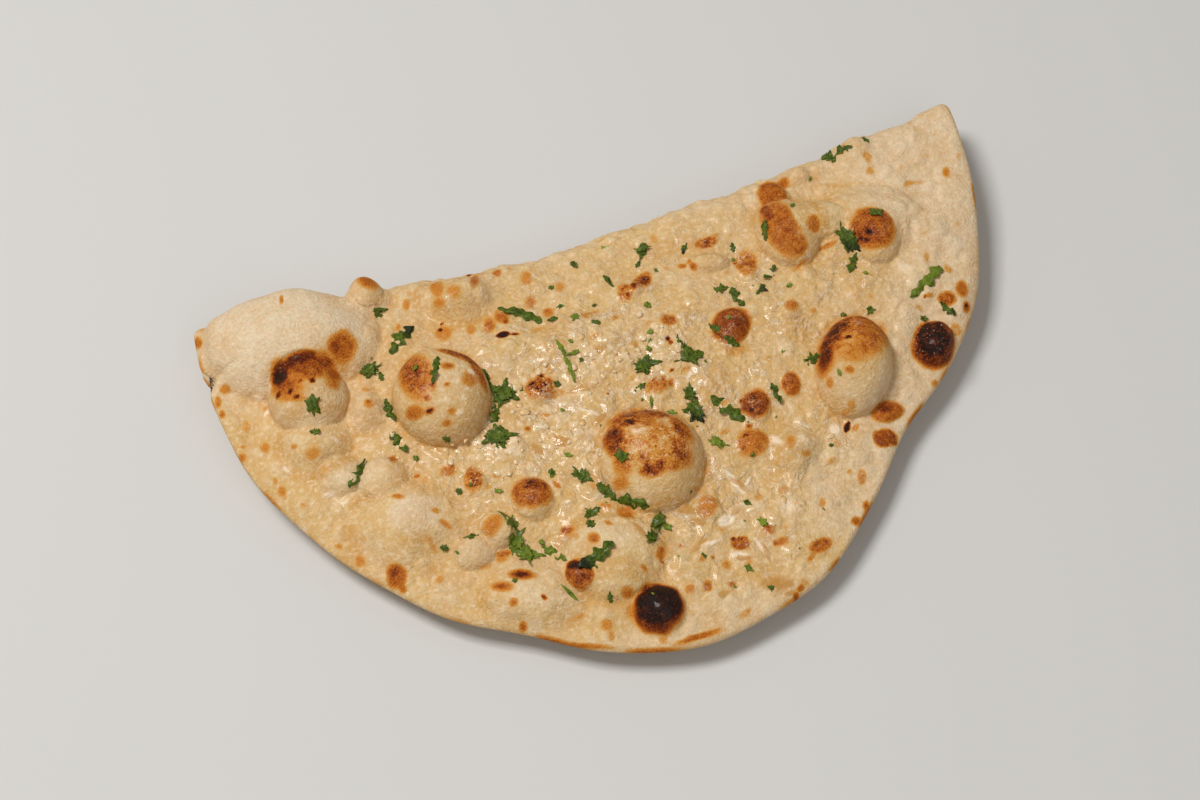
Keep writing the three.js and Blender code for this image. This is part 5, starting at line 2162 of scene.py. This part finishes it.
@dataclass
class Butter:
    """Melted butter lying in the hollows, as thin clear films."""

    sheet: FoldedSheet
    finish: ButterFinish
    thick: float = 0.55
    rings: int = 6
    spokes: int = 30
    wobbles: tuple[tuple[float, int, int], ...] = ((0.16, 2, 1), (0.12, 3, 2))
    thinned: float = 0.96

    def build(self) -> bpy.types.Object:
        """Lay out the films, which thin towards their wavy edges, and dress them.

        Returns:
            The butter's object.
        """
        points, facets, depths = [], [], []
        total = 0
        for index, pool in enumerate(POOLS):
            spoke, ring = np.meshgrid(np.arange(self.spokes), np.arange(1, self.rings + 1))
            angle = math.tau * spoke / self.spokes
            share = ring / self.rings
            waves = (size * np.sin(rate * angle + step * index) for size, rate, step in self.wobbles)
            wobble = 1 + sum(waves)
            right = np.append(pool.half_along * share * wobble * np.cos(angle), 0.0)
            onward = np.append(pool.half_over * share * wobble * np.sin(angle), 0.0)
            share = np.append(share, 0.0)
            along, over = turned(pool, right, onward)
            thick = self.thick * np.sqrt(1 - self.thinned * share**2)
            points.append(self.sheet.point(along, over, 1, thick))
            depths.append(1 - share**3)
            middle = total + self.rings * self.spokes
            for spoke_number in range(self.spokes):
                after = (spoke_number + 1) % self.spokes
                facets.append((total + spoke_number, middle, total + after))
                for low in range(total, middle - self.spokes, self.spokes):
                    high = low + self.spokes
                    facets.append((low + spoke_number, low + after, high + after, high + spoke_number))
            total = middle + 1
        values = {"depth": np.concatenate(depths)}
        made = make_object("butter", np.concatenate(points), facets, values, self.finish.make())
        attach(made, BODY)
        return made


@dataclass
class Studio:
    """A plain pale floor, soft light and the camera at the photograph's viewing angle."""

    azimuth: float = -18.89
    elevation: float = 62.0
    distance: float = 800.0
    pixels_per_millimetre: float = 3.41
    aim: Triple = (-12.25, 10.96, 10.0)
    frame_width: float = 1200.0
    sensor: float = 36.0
    nearest: float = 0.05
    floor_half: float = 1500.0
    floor_colour: Colour = linear(214, 212, 208)
    floor_roughness: float = 0.9
    lights: tuple[tuple[str, Triple, float, float], ...] = (
        ("key", (-0.54, 0.3, 1.38), 0.45, 15.2),
        ("fill", (0.1, -0.8, 0.9), 0.8, 1.6),
    )
    surroundings: float = 0.27
    surroundings_colour: Colour = (1.0, 0.98, 0.95, 1.0)

    def camera(self) -> bpy.types.Object:
        """Place the camera.

        Returns:
            The camera's object.
        """
        turn, rise = math.radians(self.azimuth), math.radians(self.elevation)
        back = Vector((math.sin(turn) * math.cos(rise), -math.cos(turn) * math.cos(rise), math.sin(rise)))
        right = Vector((math.cos(turn), math.sin(turn), 0))
        up = back.cross(right)
        data = bpy.data.cameras.new("camera")
        data.sensor_width = self.sensor
        data.lens = self.sensor * self.pixels_per_millimetre * self.distance / self.frame_width
        data.clip_start = self.nearest
        made = bpy.data.objects.new("camera", data)
        place = (Vector(self.aim) + back * self.distance) * METRES
        made.matrix_world = Matrix.Translation(place) @ Matrix((right, up, back)).transposed().to_4x4()
        bpy.context.scene.collection.objects.link(made)
        bpy.context.scene.camera = made
        return made

    def floor(self) -> bpy.types.Object:
        """Lay the floor.

        Returns:
            The floor's object.
        """
        corners = np.array([(-1, -1, 0), (1, -1, 0), (1, 1, 0), (-1, 1, 0)]) * self.floor_half
        shades = Shades("pale floor", self.floor_roughness)
        shades.set(Base_Color=self.floor_colour)
        made = make_object("floor", corners, [(0, 1, 2, 3)], {}, shades.material)
        return made

    @staticmethod
    def light(name: str, place: Triple, size: float, watts: float) -> bpy.types.Object:
        """Hang a soft square light that faces the bread.

        Args:
            name: its name.
            place: where it hangs, in metres.
            size: its side, in metres.
            watts: its power.

        Returns:
            The light's object.
        """
        data = bpy.data.lights.new(name, "AREA")
        data.size = size
        data.energy = watts
        made = bpy.data.objects.new(name, data)
        made.location = place
        made.rotation_euler = (-Vector(place)).to_track_quat("-Z", "Y").to_euler()
        bpy.context.scene.collection.objects.link(made)
        return made

    def build(self) -> None:
        """Set up the camera, floor, lights and surroundings."""
        self.camera()
        self.floor()
        for lamp in self.lights:
            self.light(*lamp)
        world = bpy.data.worlds.new("soft surroundings")
        world.use_nodes = True
        background = world.node_tree.nodes["Background"]
        background.inputs["Color"].default_value = self.surroundings_colour
        background.inputs["Strength"].default_value = self.surroundings
        bpy.context.scene.world = world
        bpy.context.scene.view_settings.view_transform = "Standard"


def main() -> None:
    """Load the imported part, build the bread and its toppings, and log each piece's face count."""
    logging.basicConfig(level=logging.INFO, format="%(name)s: %(message)s")
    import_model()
    sheet = FoldedSheet()
    Studio().build()
    bread = Bread(sheet, CrustFinish())
    for made in (
        bread.build(),
        Coriander(sheet, HerbFinish()).build(),
        Garlic(sheet, GarlicFinish()).build(bread),
        Butter(sheet, ButterFinish()).build(),
    ):
        LOG.info("%s: %d faces", made.name, len(made.data.polygons))


if __name__ == "__main__":
    main()
